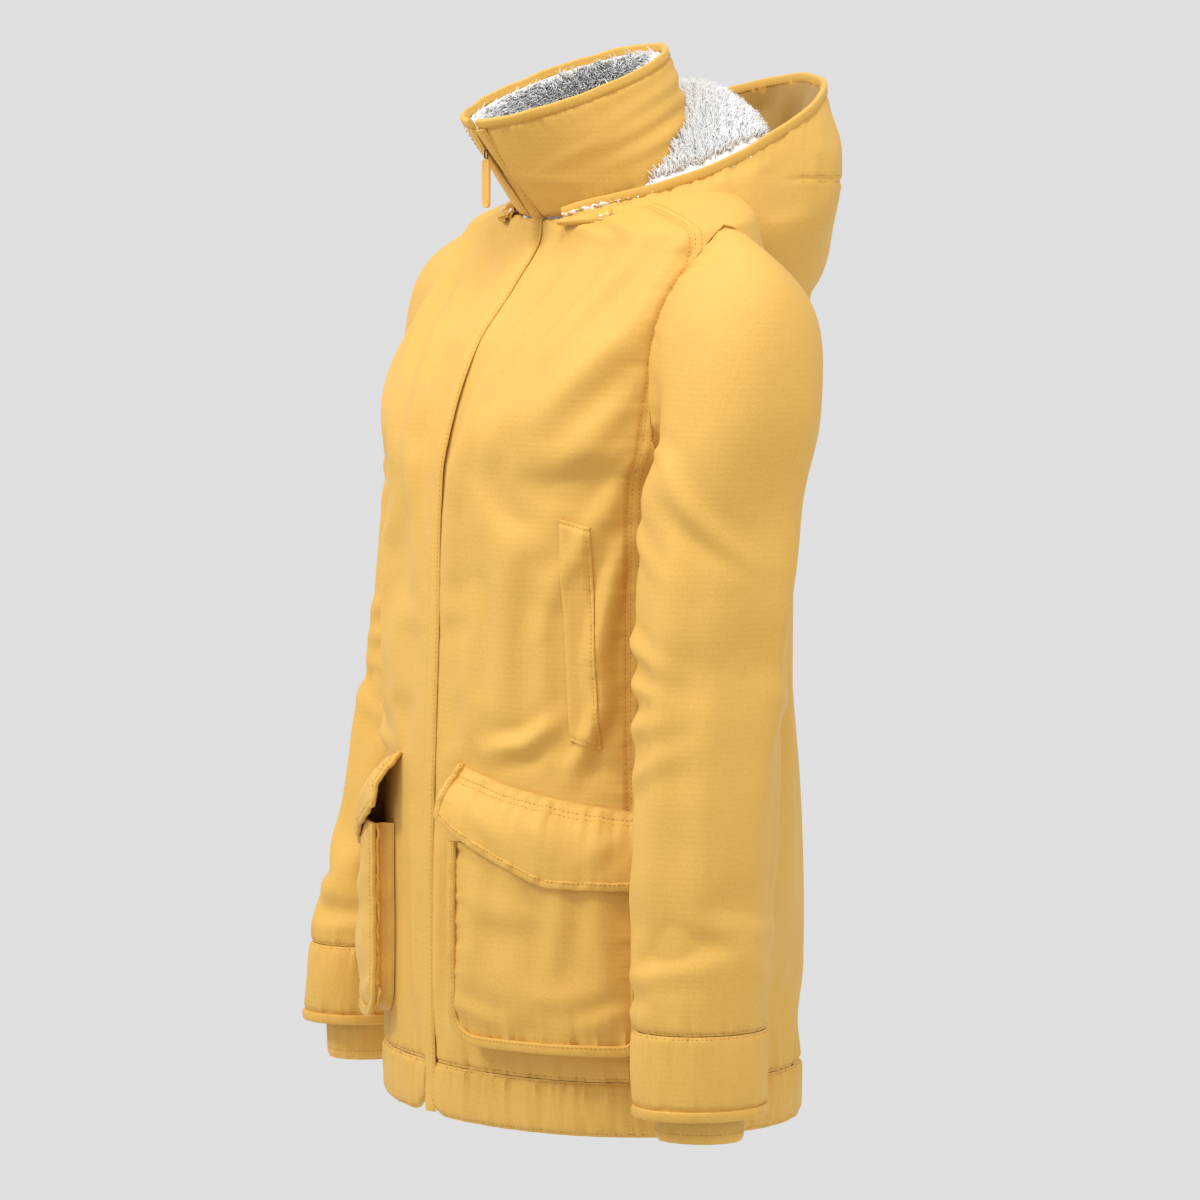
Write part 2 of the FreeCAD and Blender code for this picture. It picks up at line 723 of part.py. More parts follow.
def zip_slider():
    """Two plates joined by a neck between the coil rows, with a bail for the pull tab."""
    body = new_body("zip_slider", collar_frame(size("slider_place"), 0))
    deep = "<<dimensions>>.plate_depth"
    front = f"{deep} + <<dimensions>>.plate_gap + <<dimensions>>.plate_thickness"
    plates = (("back_plate", deep), ("front_plate", front))
    for name, depth in plates:
        sketch = new_sketch(body, f"{name}_outline")
        rectangle(sketch, "<<dimensions>>.slider_width", "<<dimensions>>.slider_length")
        sketch.setExpression("AttachmentOffset.Base.z", depth)
        if name == "back_plate":
            pad(body, sketch, "<<dimensions>>.plate_thickness", name)
            neck = new_sketch(body, "neck_outline")
            rectangle(neck, "<<dimensions>>.neck_width", "<<dimensions>>.neck_length")
            neck.setExpression("AttachmentOffset.Base.z", depth)
            pad(body, neck, "<<dimensions>>.plate_gap + 2 * <<dimensions>>.plate_thickness", "neck")
        else:
            pad(body, sketch, "<<dimensions>>.plate_thickness", name)
    for side in (-1, 1):
        name = "left_post" if side > 0 else "right_post"
        sketch = new_sketch(body, f"{name}_outline")
        centre = f"({side} * <<dimensions>>.bail_span + <<dimensions>>.post_width) / 2"
        rectangle(
            sketch, "<<dimensions>>.post_width", "<<dimensions>>.post_length",
            x_high=centre, y_high="<<dimensions>>.post_length / 2",
        )
        sketch.setExpression("AttachmentOffset.Base.z", f"{deep} + <<dimensions>>.plate_gap + 2")
        pad(body, sketch, "<<dimensions>>.bail_height + 1.6", name)
    bar = new_sketch(body, "bail_bar_outline", "YZ_Plane")
    middle = f"{deep} + 2 * <<dimensions>>.plate_thickness + <<dimensions>>.plate_gap"
    circle(bar, "0", f"{middle} + <<dimensions>>.bail_height", "<<dimensions>>.bail_radius")
    pad(body, bar, "<<dimensions>>.bail_span", "bail_bar", middle=True)
    return body


def circle(sketch, x_place, y_place, radius):
    """Draw a circle whose centre and radius are expressions."""
    import Sketcher

    item = sketch.addGeometry(Part.Circle(Vector(0.5, 0.5, 0), Vector(0, 0, 1), 1))
    wanted = (("DistanceX", (-1, 1, item, 3), x_place), ("DistanceY", (-1, 1, item, 3), y_place))
    for kind, places, expression in wanted:
        index = sketch.addConstraint(Sketcher.Constraint(kind, *places, 0.5))
        sketch.setExpression(f"Constraints[{index}]", expression)
    index = sketch.addConstraint(Sketcher.Constraint("Radius", item, 1.0))
    sketch.setExpression(f"Constraints[{index}]", radius)


BAIL_OUT = size("plate_depth") + 2 * size("plate_thickness") + size("plate_gap") + size("bail_height")


def zip_pull_tab():
    """A long fabric tab whose folded eye turns on the slider's bail; it hangs straight down."""
    pivot = collar_frame(size("slider_place"), BAIL_OUT).Base
    body = new_body("zip_pull_tab", Placement(pivot, Rotation()))
    eye = new_sketch(body, "eye_outline", "YZ_Plane")
    circle(eye, "0", "0", "<<dimensions>>.tab_eye_radius")
    pad(body, eye, "<<dimensions>>.tab_eye_width", "eye", middle=True)
    neck = new_sketch(body, "tab_neck_outline", "XZ_Plane")
    low = "-<<dimensions>>.tab_neck"
    rectangle(neck, "<<dimensions>>.tab_eye_width", "<<dimensions>>.tab_neck", y_high="0")
    pad(body, neck, "<<dimensions>>.tab_thickness", "tab_neck", middle=True)
    strap = new_sketch(body, "strap_outline", "XZ_Plane")
    rectangle(strap, "<<dimensions>>.tab_width", "<<dimensions>>.tab_length", y_high=low)
    pad(body, strap, "<<dimensions>>.tab_thickness", "strap", middle=True)
    bore = new_sketch(body, "bore_outline", "YZ_Plane")
    circle(bore, "0", "0", "<<dimensions>>.tab_eye_bore")
    doc.recompute()
    before = body.Shape.Volume
    pocket = body.newObject("PartDesign::Pocket", "bore")
    pocket.Profile = bore
    pocket.Midplane = True
    pocket.setExpression("Length", "<<dimensions>>.tab_eye_width * 2")
    doc.recompute()
    if not body.Shape.Volume < before:
        raise RuntimeError("the pull tab's bore cuts nothing")
    return body


def snap_caps():
    """The two domed snap caps on the hood's front corners, as one group of solids."""
    caps = []
    for side in (1, -1):
        cap = Part.makeCylinder(size("snap_radius"), size("snap_height") - 1)
        dome = Part.makeCone(size("snap_radius"), size("snap_radius") - 1.6, 1)
        dome.translate(Vector(0, 0, size("snap_height") - 1))
        cap = cap.fuse(dome).removeSplitter()
        cap.Placement = corner_place(side).multiply(
            Placement(Vector(0, -8, size("corner_thickness") + 0.4), Rotation())
        )
        caps.append(cap)
    add_shape("hood_corner_snaps", Part.makeCompound(caps))


def corner_place(side):
    """Where a hood corner lies on the shoulder, beside the collar."""
    tilt = Rotation(Vector(0, 1, 0), side * size("corner_tilt"))
    place = Vector(side * size("corner_x"), size("corner_y"), size("corner_z"))
    return Placement(place, tilt)


def hood_corners():
    """The hood's two front corners, snapped flat beside the collar."""
    for side, label in ((1, "left_hood_corner"), (-1, "right_hood_corner")):
        body = new_body(label, corner_place(side))
        sketch = new_sketch(body, f"{label}_outline")
        rectangle(sketch, "<<dimensions>>.corner_width", "<<dimensions>>.corner_length")
        pad(body, sketch, "<<dimensions>>.corner_thickness", f"{label}_pad")


def hand_pocket_welts():
    """A stitched welt on each slanted hand pocket, flat against the front."""
    angle, middle = size("welt_angle"), size("welt_middle")
    section = section_at(BODY, middle)
    lift = size("welt_lift")
    place = surface_point(section, angle, lift)
    ahead = surface_point(section, angle + 1, lift) - surface_point(section, angle - 1, lift)
    above = surface_point(section_at(BODY, middle + 60), angle, lift)
    below = surface_point(section_at(BODY, middle - 60), angle + 3, lift)
    across, upwards = ahead.normalize(), (above - below).normalize()
    out = across.cross(upwards).normalize()
    turn = Rotation(across, upwards, out, "ZYX")
    for side, label in ((1, "left_hand_pocket_welt"), (-1, "right_hand_pocket_welt")):
        if side > 0:
            here = Placement(place, turn)
        else:
            flat = Vector(place.x * -1, place.y, place.z)
            mirror = Rotation(
                Vector(across.x, -across.y, -across.z),
                Vector(-upwards.x, upwards.y, upwards.z),
                Vector(-out.x, out.y, out.z),
                "ZYX",
            )
            here = Placement(flat, mirror)
        body = new_body(label, here)
        sketch = new_sketch(body, f"{label}_outline")
        rectangle(sketch, "<<dimensions>>.welt_width", "<<dimensions>>.welt_length")
        pad(body, sketch, "<<dimensions>>.welt_thickness", f"{label}_pad")


def hanger_loop():
    """A flat strap loop standing up from the inside of the back neck."""
    body = new_body("hanger_loop", Placement(Vector(0, size("loop_y"), size("loop_z")), Rotation()))
    outer = new_sketch(body, "loop_outline", "XZ_Plane")
    strap = "<<dimensions>>.loop_strap"
    rectangle(
        outer, "2 * <<dimensions>>.loop_half_width",
        "<<dimensions>>.loop_height + <<dimensions>>.loop_strap", y_high=strap,
    )
    pad(body, outer, "<<dimensions>>.loop_thickness", "strap_plate", middle=True)
    inner = new_sketch(body, "opening_outline", "XZ_Plane")
    rectangle(
        inner, "2 * (<<dimensions>>.loop_half_width - <<dimensions>>.loop_strap)",
        "<<dimensions>>.loop_height", y_high="0",
    )
    doc.recompute()
    before = body.Shape.Volume
    opening = body.newObject("PartDesign::Pocket", "opening")
    opening.Profile = inner
    opening.Midplane = True
    opening.setExpression("Length", "<<dimensions>>.loop_thickness * 4")
    doc.recompute()
    if not body.Shape.Volume < before:
        raise RuntimeError("the hanger loop's opening cuts nothing")


def zip_stops():
    """The retaining box at the hem and the two end stops above the coil rows."""
    group = []
    (y, z) = at_height(centre_line(), size("zip_bottom"))
    width = size("zip_box_width")
    corner = Vector(-width / 2, y + 2.6, z)
    group.append(Part.makeBox(width, size("zip_box_depth"), size("zip_box_height"), corner))
    width = size("end_stop_width")
    middle = (size("coil_start") + size("coil_end")) / 2
    for side in (-1, 1):
        stop = Part.makeBox(width, size("end_stop_length"), size("end_stop_depth"))
        place = Vector(side * middle - width / 2, 0, size("coil_outer"))
        stop.Placement = collar_frame(2.2, 0).multiply(
            Placement(place, Rotation(Vector(1, 0, 0), -90))
        )
        group.append(stop)
    add_shape("zip_end_stops", Part.makeCompound(group))


def main():
    """Build every sub-part, check it and write one STEP file each."""
    body_panels()
    collar()
    centre_front()
    sleeves()
    patch_pockets()
    hand_pocket_bags()
    hood()
    zip_slider()
    zip_pull_tab()
    hood_corners()
    snap_caps()
    hand_pocket_welts()
    hanger_loop()
    zip_stops()
    doc.recompute()
    for item in doc.Objects:
        if "Invalid" in item.State or "Error" in item.State:
            raise RuntimeError(f"{item.Label}: {item.State}")
    os.makedirs("parts", exist_ok=True)
    for node in nodes:
        if node.Shape.isNull() or not node.Shape.isValid() or not node.Shape.Solids:
            raise RuntimeError(f"{node.Label} has no valid solid")
        node.Shape.exportStep(f"parts/{node.Label}.step")
        print(node.Label, len(node.Shape.Solids), round(node.Shape.Volume))
    print(len(nodes), "sub-parts")


main()
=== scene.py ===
"""A hooded winter parka in padded soft shell with a pile lining.

Lengths are in millimetres in the coat's own frame (zero at the hem, the front facing -Y,
the wearer's left at +X) until a mesh is made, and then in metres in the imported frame.
"""
import logging
import math
from dataclasses import dataclass, field
from enum import Enum
from typing import Callable, Dict, List, Optional, Sequence, Tuple

import bmesh
import bpy
import numpy as np
from mathutils import Matrix, Vector


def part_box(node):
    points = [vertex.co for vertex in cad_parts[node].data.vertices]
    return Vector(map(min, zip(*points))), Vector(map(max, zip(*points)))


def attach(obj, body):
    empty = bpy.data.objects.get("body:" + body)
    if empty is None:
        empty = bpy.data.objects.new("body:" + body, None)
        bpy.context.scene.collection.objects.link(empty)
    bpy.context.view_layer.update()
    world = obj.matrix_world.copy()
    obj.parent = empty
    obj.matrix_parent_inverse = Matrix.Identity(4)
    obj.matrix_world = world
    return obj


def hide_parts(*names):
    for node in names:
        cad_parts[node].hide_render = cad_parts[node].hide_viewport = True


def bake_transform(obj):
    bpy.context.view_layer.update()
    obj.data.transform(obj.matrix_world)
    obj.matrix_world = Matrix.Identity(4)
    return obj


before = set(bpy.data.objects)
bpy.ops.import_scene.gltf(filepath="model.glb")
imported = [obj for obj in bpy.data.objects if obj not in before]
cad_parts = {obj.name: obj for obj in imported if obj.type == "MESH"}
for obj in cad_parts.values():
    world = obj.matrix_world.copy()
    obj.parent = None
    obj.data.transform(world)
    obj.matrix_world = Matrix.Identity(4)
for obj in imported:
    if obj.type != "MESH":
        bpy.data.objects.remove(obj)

Array = np.ndarray
Line = Tuple[Array, Array]
Point = Tuple[float, float, float]

log = logging.getLogger("parka")
MM = 0.001
TO_ROW = np.array([0.0, -0.062, -0.744])
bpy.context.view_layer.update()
FLIP = np.array([-1.0, 1.0, 1.0])


class Side(Enum):
    """The wearer's two sides, as the sign of X."""

    LEFT = 1
    RIGHT = -1

    @property
    def word(self) -> str:
        """The side's name in lower case."""
        return self.name.lower()


class Edge(Enum):
    """The four edges of a net of cloth points."""

    START = "start"
    END = "end"
    BOTTOM = "bottom"
    TOP = "top"


# ------------------------------------------------------------------ finishes
class Mix:
    """A material being mixed: its shader and the nodes that feed it."""

    def __init__(self, name: str) -> None:
        """Start the material, read in object coordinates."""
        self.material = bpy.data.materials.new(name)
        self.material.use_nodes = True
        self.tree = self.material.node_tree
        self.shader = self.tree.nodes["Principled BSDF"]
        self.place = self.tree.nodes.new("ShaderNodeTexCoord").outputs["Object"]

    def fill(self, node: bpy.types.Node, **values: object) -> None:
        """Set a node's inputs, named with underscores for spaces, or link them to other sockets."""
        for name, value in values.items():
            socket = node.inputs[name.replace("_", " ")]
            if isinstance(value, bpy.types.NodeSocket):
                self.tree.links.new(value, socket)
            else:
                socket.default_value = value

    def add(self, kind: str, **values: object) -> bpy.types.Node:
        """Add a node of a kind and fill its inputs."""
        node = self.tree.nodes.new("ShaderNode" + kind)
        self.fill(node, **values)
        return node

    def ramp(self, factor: bpy.types.NodeSocket, low: Point, high: Point,
             start: float = 0.0, end: float = 1.0) -> bpy.types.NodeSocket:
        """A colour that runs from low to high as the factor goes from start to end."""
        ramp = self.add("ValToRGB", Fac=factor)
        for element, colour, position in zip(ramp.color_ramp.elements, (low, high), (start, end)):
            element.position, element.color = position, (*colour, 1.0)
        return ramp.outputs["Color"]


@dataclass(frozen=True)
class Fibre:
    """A woven, knitted or coated cloth with a fine grain.

    Attributes:
        name: name of the material.
        colour: main colour, linear.
        deep: colour of the darker threads, and painted shade in the dents of the grain, linear.
        roughness: how matt the surface is.
        sheen: strength of the soft edge sheen.
        sheen_tint: colour of the sheen, linear.
        grain: grain cells per metre.
        bump: depth of the grain in metres.
        blotch: how far the colour wanders over a hand's width.
        weave: threads per metre, or zero for a cloth with no visible weave.
    """

    name: str
    colour: Point
    deep: Point
    roughness: float = 0.62
    sheen: float = 0.06
    sheen_tint: Point = (1.0, 0.9, 0.7)
    grain: float = 900.0
    bump: float = 0.00025
    blotch: float = 0.35
    weave: float = 0.0

    def build(self) -> bpy.types.Material:
        """Make the material.

        Returns:
            The procedural material, read in object coordinates.
        """
        made = Mix(self.name)
        made.fill(made.shader, Sheen_Weight=self.sheen, Sheen_Roughness=0.45,
                  Sheen_Tint=(*self.sheen_tint, 1.0), Specular_IOR_Level=0.25)
        grain = made.add("TexNoise", Scale=self.grain, Detail=3.0, Roughness=0.62, Vector=made.place)
        cloud = made.add("TexNoise", Scale=11.0, Detail=5.0, Vector=made.place)
        blend = made.tree.nodes.new("ShaderNodeMath")
        blend.operation = "MULTIPLY_ADD"
        blend.inputs[1].default_value = self.blotch
        made.tree.links.new(cloud.outputs["Fac"], blend.inputs[0])
        made.tree.links.new(grain.outputs["Fac"], blend.inputs[2])
        # The grain noise both sinks the bump and pulls the colour towards deep, so the darker tone is painted
        # shade in the grain's dents, mixed with random darker threads and blotches.
        colour = made.ramp(blend.outputs["Value"], self.deep, self.colour, 0.42, 0.78)
        rough = made.add("MapRange", To_Min=self.roughness + 0.08, To_Max=self.roughness - 0.08,
                         Value=grain.outputs["Fac"])
        top = made.add("Bump", Distance=self.bump, Strength=0.55, Height=grain.outputs["Fac"])
        for direction in ("X", "Z") if self.weave else ():
            wave = made.add("TexWave", Scale=self.weave / 20.0, Distortion=1.2, Detail=1.0,
                            Vector=made.place)
            wave.bands_direction = direction
            top = made.add("Bump", Distance=self.bump * 0.5, Strength=0.35,
                           Height=wave.outputs["Fac"], Normal=top.outputs["Normal"])
        made.fill(made.shader, Base_Color=colour, Roughness=rough.outputs["Result"],
                  Normal=top.outputs["Normal"])
        return made.material


@dataclass(frozen=True)
class Hardware:
    """A moulded plastic or plated metal.

    Attributes:
        name: name of the material.
        colour: main colour, linear.
        metallic: one for metal, zero for plastic.
        roughness: how matt the surface is.
        coat: strength of the clear gloss over it.
    """

    name: str
    colour: Point
    metallic: float = 0.0
    roughness: float = 0.35
    coat: float = 0.3

    def build(self) -> bpy.types.Material:
        """Make the material.

        Returns:
            The procedural material with fine scuffs.
        """
        made = Mix(self.name)
        made.fill(made.shader, Metallic=self.metallic, Coat_Weight=self.coat, Coat_Roughness=0.18)
        scuff = made.add("TexNoise", Scale=420.0, Detail=6.0, Vector=made.place).outputs["Fac"]
        colour = made.ramp(scuff, tuple(c * 0.78 for c in self.colour), self.colour)
        rough = made.add("MapRange", To_Min=self.roughness - 0.08, To_Max=self.roughness + 0.12, Value=scuff)
        bump = made.add("Bump", Distance=0.00006, Strength=0.4, Height=scuff)
        made.fill(made.shader, Base_Color=colour, Roughness=rough.outputs["Result"],
                  Normal=bump.outputs["Normal"])
        return made.material


@dataclass
class Finishes:
    """Every material of the coat, made once."""

    shell: bpy.types.Material
    shell_edge: bpy.types.Material
    thread: bpy.types.Material
    pile: bpy.types.Material
    satin: bpy.types.Material
    tape: bpy.types.Material
    coil: bpy.types.Material
    metal: bpy.types.Material
    snap: bpy.types.Material
    rubber: bpy.types.Material

    @classmethod
    def make(cls) -> "Finishes":
        """Build every material of the coat."""
        yellow, shade = (0.72, 0.425, 0.092), (0.63, 0.36, 0.07)
        return cls(
            shell=Fibre("shell_cloth", yellow, shade, grain=850.0, weave=1400.0).build(),
            shell_edge=Fibre("shell_binding", (0.70, 0.41, 0.084), (0.59, 0.33, 0.062)).build(),
            thread=Fibre("sewing_thread", (0.60, 0.31, 0.055), (0.42, 0.21, 0.035),
                         roughness=0.5, grain=2600.0, bump=0.0001).build(),
            pile=Fibre("pile_fleece", (0.97, 0.965, 0.955), (0.90, 0.89, 0.875), roughness=0.95,
                       sheen=0.6, sheen_tint=(1.0, 1.0, 1.0), grain=420.0, bump=0.0003).build(),
            satin=Fibre("lining_satin", (0.42, 0.24, 0.052), (0.34, 0.185, 0.038), roughness=0.36,
                        sheen=0.35, grain=1500.0, bump=0.00006, weave=2200.0).build(),
            tape=Fibre("zip_tape_twill", (0.70, 0.38, 0.075), (0.55, 0.29, 0.05), weave=1600.0).build(),
            coil=Hardware("zip_coil_nylon", (0.52, 0.28, 0.06), roughness=0.3).build(),
            metal=Hardware("zip_slider_metal", (0.055, 0.05, 0.045), metallic=0.85, roughness=0.32,
                           coat=0.4).build(),
            snap=Hardware("snap_cap_lacquer", (0.84, 0.47, 0.085), roughness=0.22, coat=0.7).build(),
            rubber=Hardware("pull_tab_rubber", (0.80, 0.44, 0.085), roughness=0.5, coat=0.1).build(),
        )


# ------------------------------------------------------------------ the coat's form
@dataclass(frozen=True)
class Section:
    """One level of the coat: angle 0 is the centre front and 90 the wearer's left."""

    height: float
    half_width: float
    centre: float
    front: float
    back: float
    tilt: float
    power: float
    lift: float


class Form:
    """A smooth surface through level sections."""

    def __init__(self, sections: Sequence[Section]) -> None:
        """Fit monotone curves through the sections' sizes.

        Args:
            sections: the levels from the lowest to the highest.
        """
        self.heights = np.array([s.height for s in sections])
        self.values = np.array(
            [[s.half_width, s.centre, s.front, s.back, s.tilt, s.power, s.lift] for s in sections]
        )
        step = np.diff(self.heights)[:, None]
        rise = np.diff(self.values, axis=0) / step
        slopes = np.zeros_like(self.values)
        slopes[0], slopes[-1] = rise[0], rise[-1]
        same = rise[1:] * rise[:-1] > 0
        wide, near = 2 * step[1:] + step[:-1], step[1:] + 2 * step[:-1]
        with np.errstate(divide="ignore", invalid="ignore"):
            mean = (wide + near) / (wide / rise[:-1] + near / rise[1:])
        slopes[1:-1] = np.where(same, mean, 0.0)
        self.slopes = slopes

    def sizes(self, height: Array) -> Array:
        """The section sizes at each height.

        Args:
            height: heights in millimetres.

        Returns:
            An array with one more axis, for the seven sizes.
        """
        height = np.clip(np.asarray(height, float), self.heights[0], self.heights[-1])
        low = np.clip(np.searchsorted(self.heights, height, side="right") - 1, 0, len(self.heights) - 2)
        step = (self.heights[low + 1] - self.heights[low])
        share = ((height - self.heights[low]) / step)[..., None]
        step = step[..., None]
        return between(share, step, self.values, self.slopes, low)

    def points(self, angle: Array, height: Array, offset: Array = 0.0) -> Array:
        """Points of the surface, moved out by an offset.

        Args:
            angle: angles in degrees.
            height: section heights.
            offset: distance outside the surface.

        Returns:
            Points in the coat's frame.
        """
        angle, height, offset = np.broadcast_arrays(
            np.asarray(angle, float), np.asarray(height, float), np.asarray(offset, float)
        )
        half, centre, front, back, tilt, power, lift = np.moveaxis(self.sizes(height), -1, 0)
        sine, cosine = np.sin(np.radians(angle)), np.cos(np.radians(angle))
        reach = (np.abs(sine) ** power + np.abs(cosine) ** power) ** (-1 / power)
        depth = np.where(cosine > 0, front, back)
        x = (half + offset) * sine * reach
        y = centre - (depth + offset) * cosine * reach
        return np.stack([x, y, height + tilt * y + lift * offset], axis=-1)

    def net(self, angle: Array, height: Array, offset: Array = 0.0) -> "Net":
        """A net of the surface, moved out by an offset."""
        return Net(self.points(angle, height, offset), self.normals(angle, height))

    def normals(self, angle: Array, height: Array) -> Array:
        """Outward unit normals of the surface at angles and heights."""
        angle, height = np.broadcast_arrays(np.asarray(angle, float), np.asarray(height, float))
        around = self.points(angle + 0.4, height) - self.points(angle - 0.4, height)
        upward = self.points(angle, height + 1.2) - self.points(angle, height - 1.2)
        flat = np.linalg.norm(upward, axis=-1) < 1e-6
        upward[flat] = (0, 0, 1)
        return unit(np.cross(around, upward))


def between(share: Array, step: Array, values: Array, slopes: Array, low: Array) -> Array:
    """Values on a smooth curve through known values and slopes.

    Args:
        share: how far each place is from one known value to the next.
        step: the distance between those two.
        values: the known values.
        slopes: the slopes there.
        low: the number of the known value before each place.

    Returns:
        The values at the places.
    """
    square, cube = share ** 2, share ** 3
    return (
        (2 * cube - 3 * square + 1) * values[low] + (cube - 2 * square + share) * step * slopes[low]
        + (3 * square - 2 * cube) * values[low + 1] + (cube - square) * step * slopes[low + 1]
    )


def lengths(line: Array) -> Array:
    """The running length at each point of a line."""
    return np.concatenate([[0], np.cumsum(np.linalg.norm(np.diff(line, axis=0), axis=1))])


def along_line(line: Array, run: Array, spots: Array) -> Array:
    """Points of a line at running lengths."""
    return np.stack([np.interp(spots, run, line[:, axis]) for axis in range(3)], 1)


def softened(line: Array, times: int) -> Array:
    """A line with its kinks eased and its ends kept."""
    line = line.copy()
    for _ in range(times):
        line[1:-1] = (line[:-2] + 2 * line[1:-1] + line[2:]) / 4
    return line


def flipped(lines: Sequence[Line]) -> List[Line]:
    """Rows of stitches on the wearer's other side."""
    return [(line * FLIP, way * FLIP) for line, way in lines]


def unit(vectors: Array) -> Array:
    """Vectors scaled to length one."""
    return vectors / np.maximum(np.linalg.norm(vectors, axis=-1, keepdims=True), 1e-9)


BODY = Form([
    Section(0, 200, 0, 147, 145, 0, 2.15, 0),
    Section(180, 198, 0, 149, 142, 0, 2.2, 0),
    Section(370, 190, 0, 144, 134, 0, 2.3, 0),
    Section(500, 188, 0, 140, 128, 0, 2.5, 0),
    Section(532, 200, 0, 134, 124, 0, 2.6, 0),
    Section(600, 200, 2, 112, 112, 0, 2.6, 0),
    Section(652, 194, 8, 84, 88, 0.05, 2.5, 0),
    Section(693, 184, 15, 68, 72, 0.15, 2.4, 0.5),
    Section(710, 128, 18, 70, 68, 0.25, 2.2, 0.8),
    Section(716, 82, 20, 72, 66, 0.33, 2.0, 0),
])
COLLAR = Form([
    Section(716.6, 81.5, 19.5, 71.5, 66, 0.33, 2.0, 0),
    Section(761.9, 77, -2, 76, 74, 0.345, 2.0, 0),
    Section(808, 75, -22, 82, 82, 0.36, 2.0, 0),
])
UNDERARM, SHOULDER_TIP, ACROSS, HEM_SEAM, NECK = 508.0, 696.0, 600.0, 42.0, 716.0
DEGREE = 3.0


def yoke_angle(height: Array) -> Array:
    """The angle of the seam between the front and the yoke at each height."""
    return 64.0 + 5.0 * np.clip((height - 600.0) / 52.0, 0, 1)


ARMHOLE = np.array([
    (508, 90), (509, 83), (511, 78), (515, 74), (522, 70.5), (534, 67.5), (560, 65.2), (590, 63.4),
    (622, 61.8), (647, 63.2), (664, 67), (677, 72), (686, 77.5), (693, 84), (696, 90),
], float)


def armhole_angles(height: Array) -> Tuple[Array, Array]:
    """Where the armhole seam lies on the body at each height.

    Args:
        height: section heights.

    Returns:
        The front and the back angle, both 90 outside the armhole.
    """
    front = np.interp(height, ARMHOLE[:, 0], ARMHOLE[:, 1], left=90.0, right=90.0)
    return front, 180.0 - front


def bitten_net(heights: Array, first: Array, limit: Tuple[float, float], step: float,
               offset: float) -> Tuple["Net", Array, Array, int]:
    """A net round the back of the body, with a bite where each armhole is.

    Args:
        heights: the rows' heights.
        first: the angle of the net's front edge at each row.
        limit: the heights between which the armholes are cut out.
        step: spacing of the points.
        offset: distance outside the form.

    Returns:
        The net, its angles, its heights and the column where the back begins.
    """
    front, back = armhole_angles(heights)
    inside = (heights > limit[0] + 0.01) & (heights < limit[1] - 0.01)
    for row in np.nonzero(~inside)[0]:
        away = max(limit[0] - heights[row], heights[row] - limit[1], 0.0)
        front[row], back[row] = 90 - 24 * (1 - math.exp(-away / 30)), 90 + 24 * (1 - math.exp(-away / 30))
    front = np.maximum(front, first + 1e-3)
    near_count = max(8, int(26 * DEGREE / step))
    share, bite = np.linspace(0, 1, near_count), np.linspace(0, 1, int(50 * DEGREE / step))
    middle = np.linspace(0, 1, int(150 * DEGREE / step))
    rows = []
    for row in range(len(heights)):
        near = first[row] + share * (front[row] - first[row])
        gap = front[row] + bite * (back[row] - front[row])
        centre = back[row] + middle * (360 - 2 * back[row])
        rows.append(np.concatenate([near, gap[1:], centre[1:-1], (360 - gap)[::-1][:-1], (360 - near)[::-1]]))
    angle = np.array(rows)
    level = np.repeat(heights[:, None], angle.shape[1], 1)
    keep = np.ones((len(heights) - 1, angle.shape[1] - 1), bool)
    a, b = len(share) - 1, len(share) + len(bite) - 2
    cut = inside[:-1] | inside[1:]
    keep[cut, a:b] = False
    keep[cut, -b:-a] = False
    narrow = np.maximum(front[:-1] - first[:-1], front[1:] - first[1:]) < 0.05
    keep[:, :a] &= ~narrow[:, None]
    keep[:, -a:] &= ~narrow[:, None]
    net = Net(BODY.points(angle, level, offset), BODY.normals(angle, level), keep)
    return net, angle, level, b


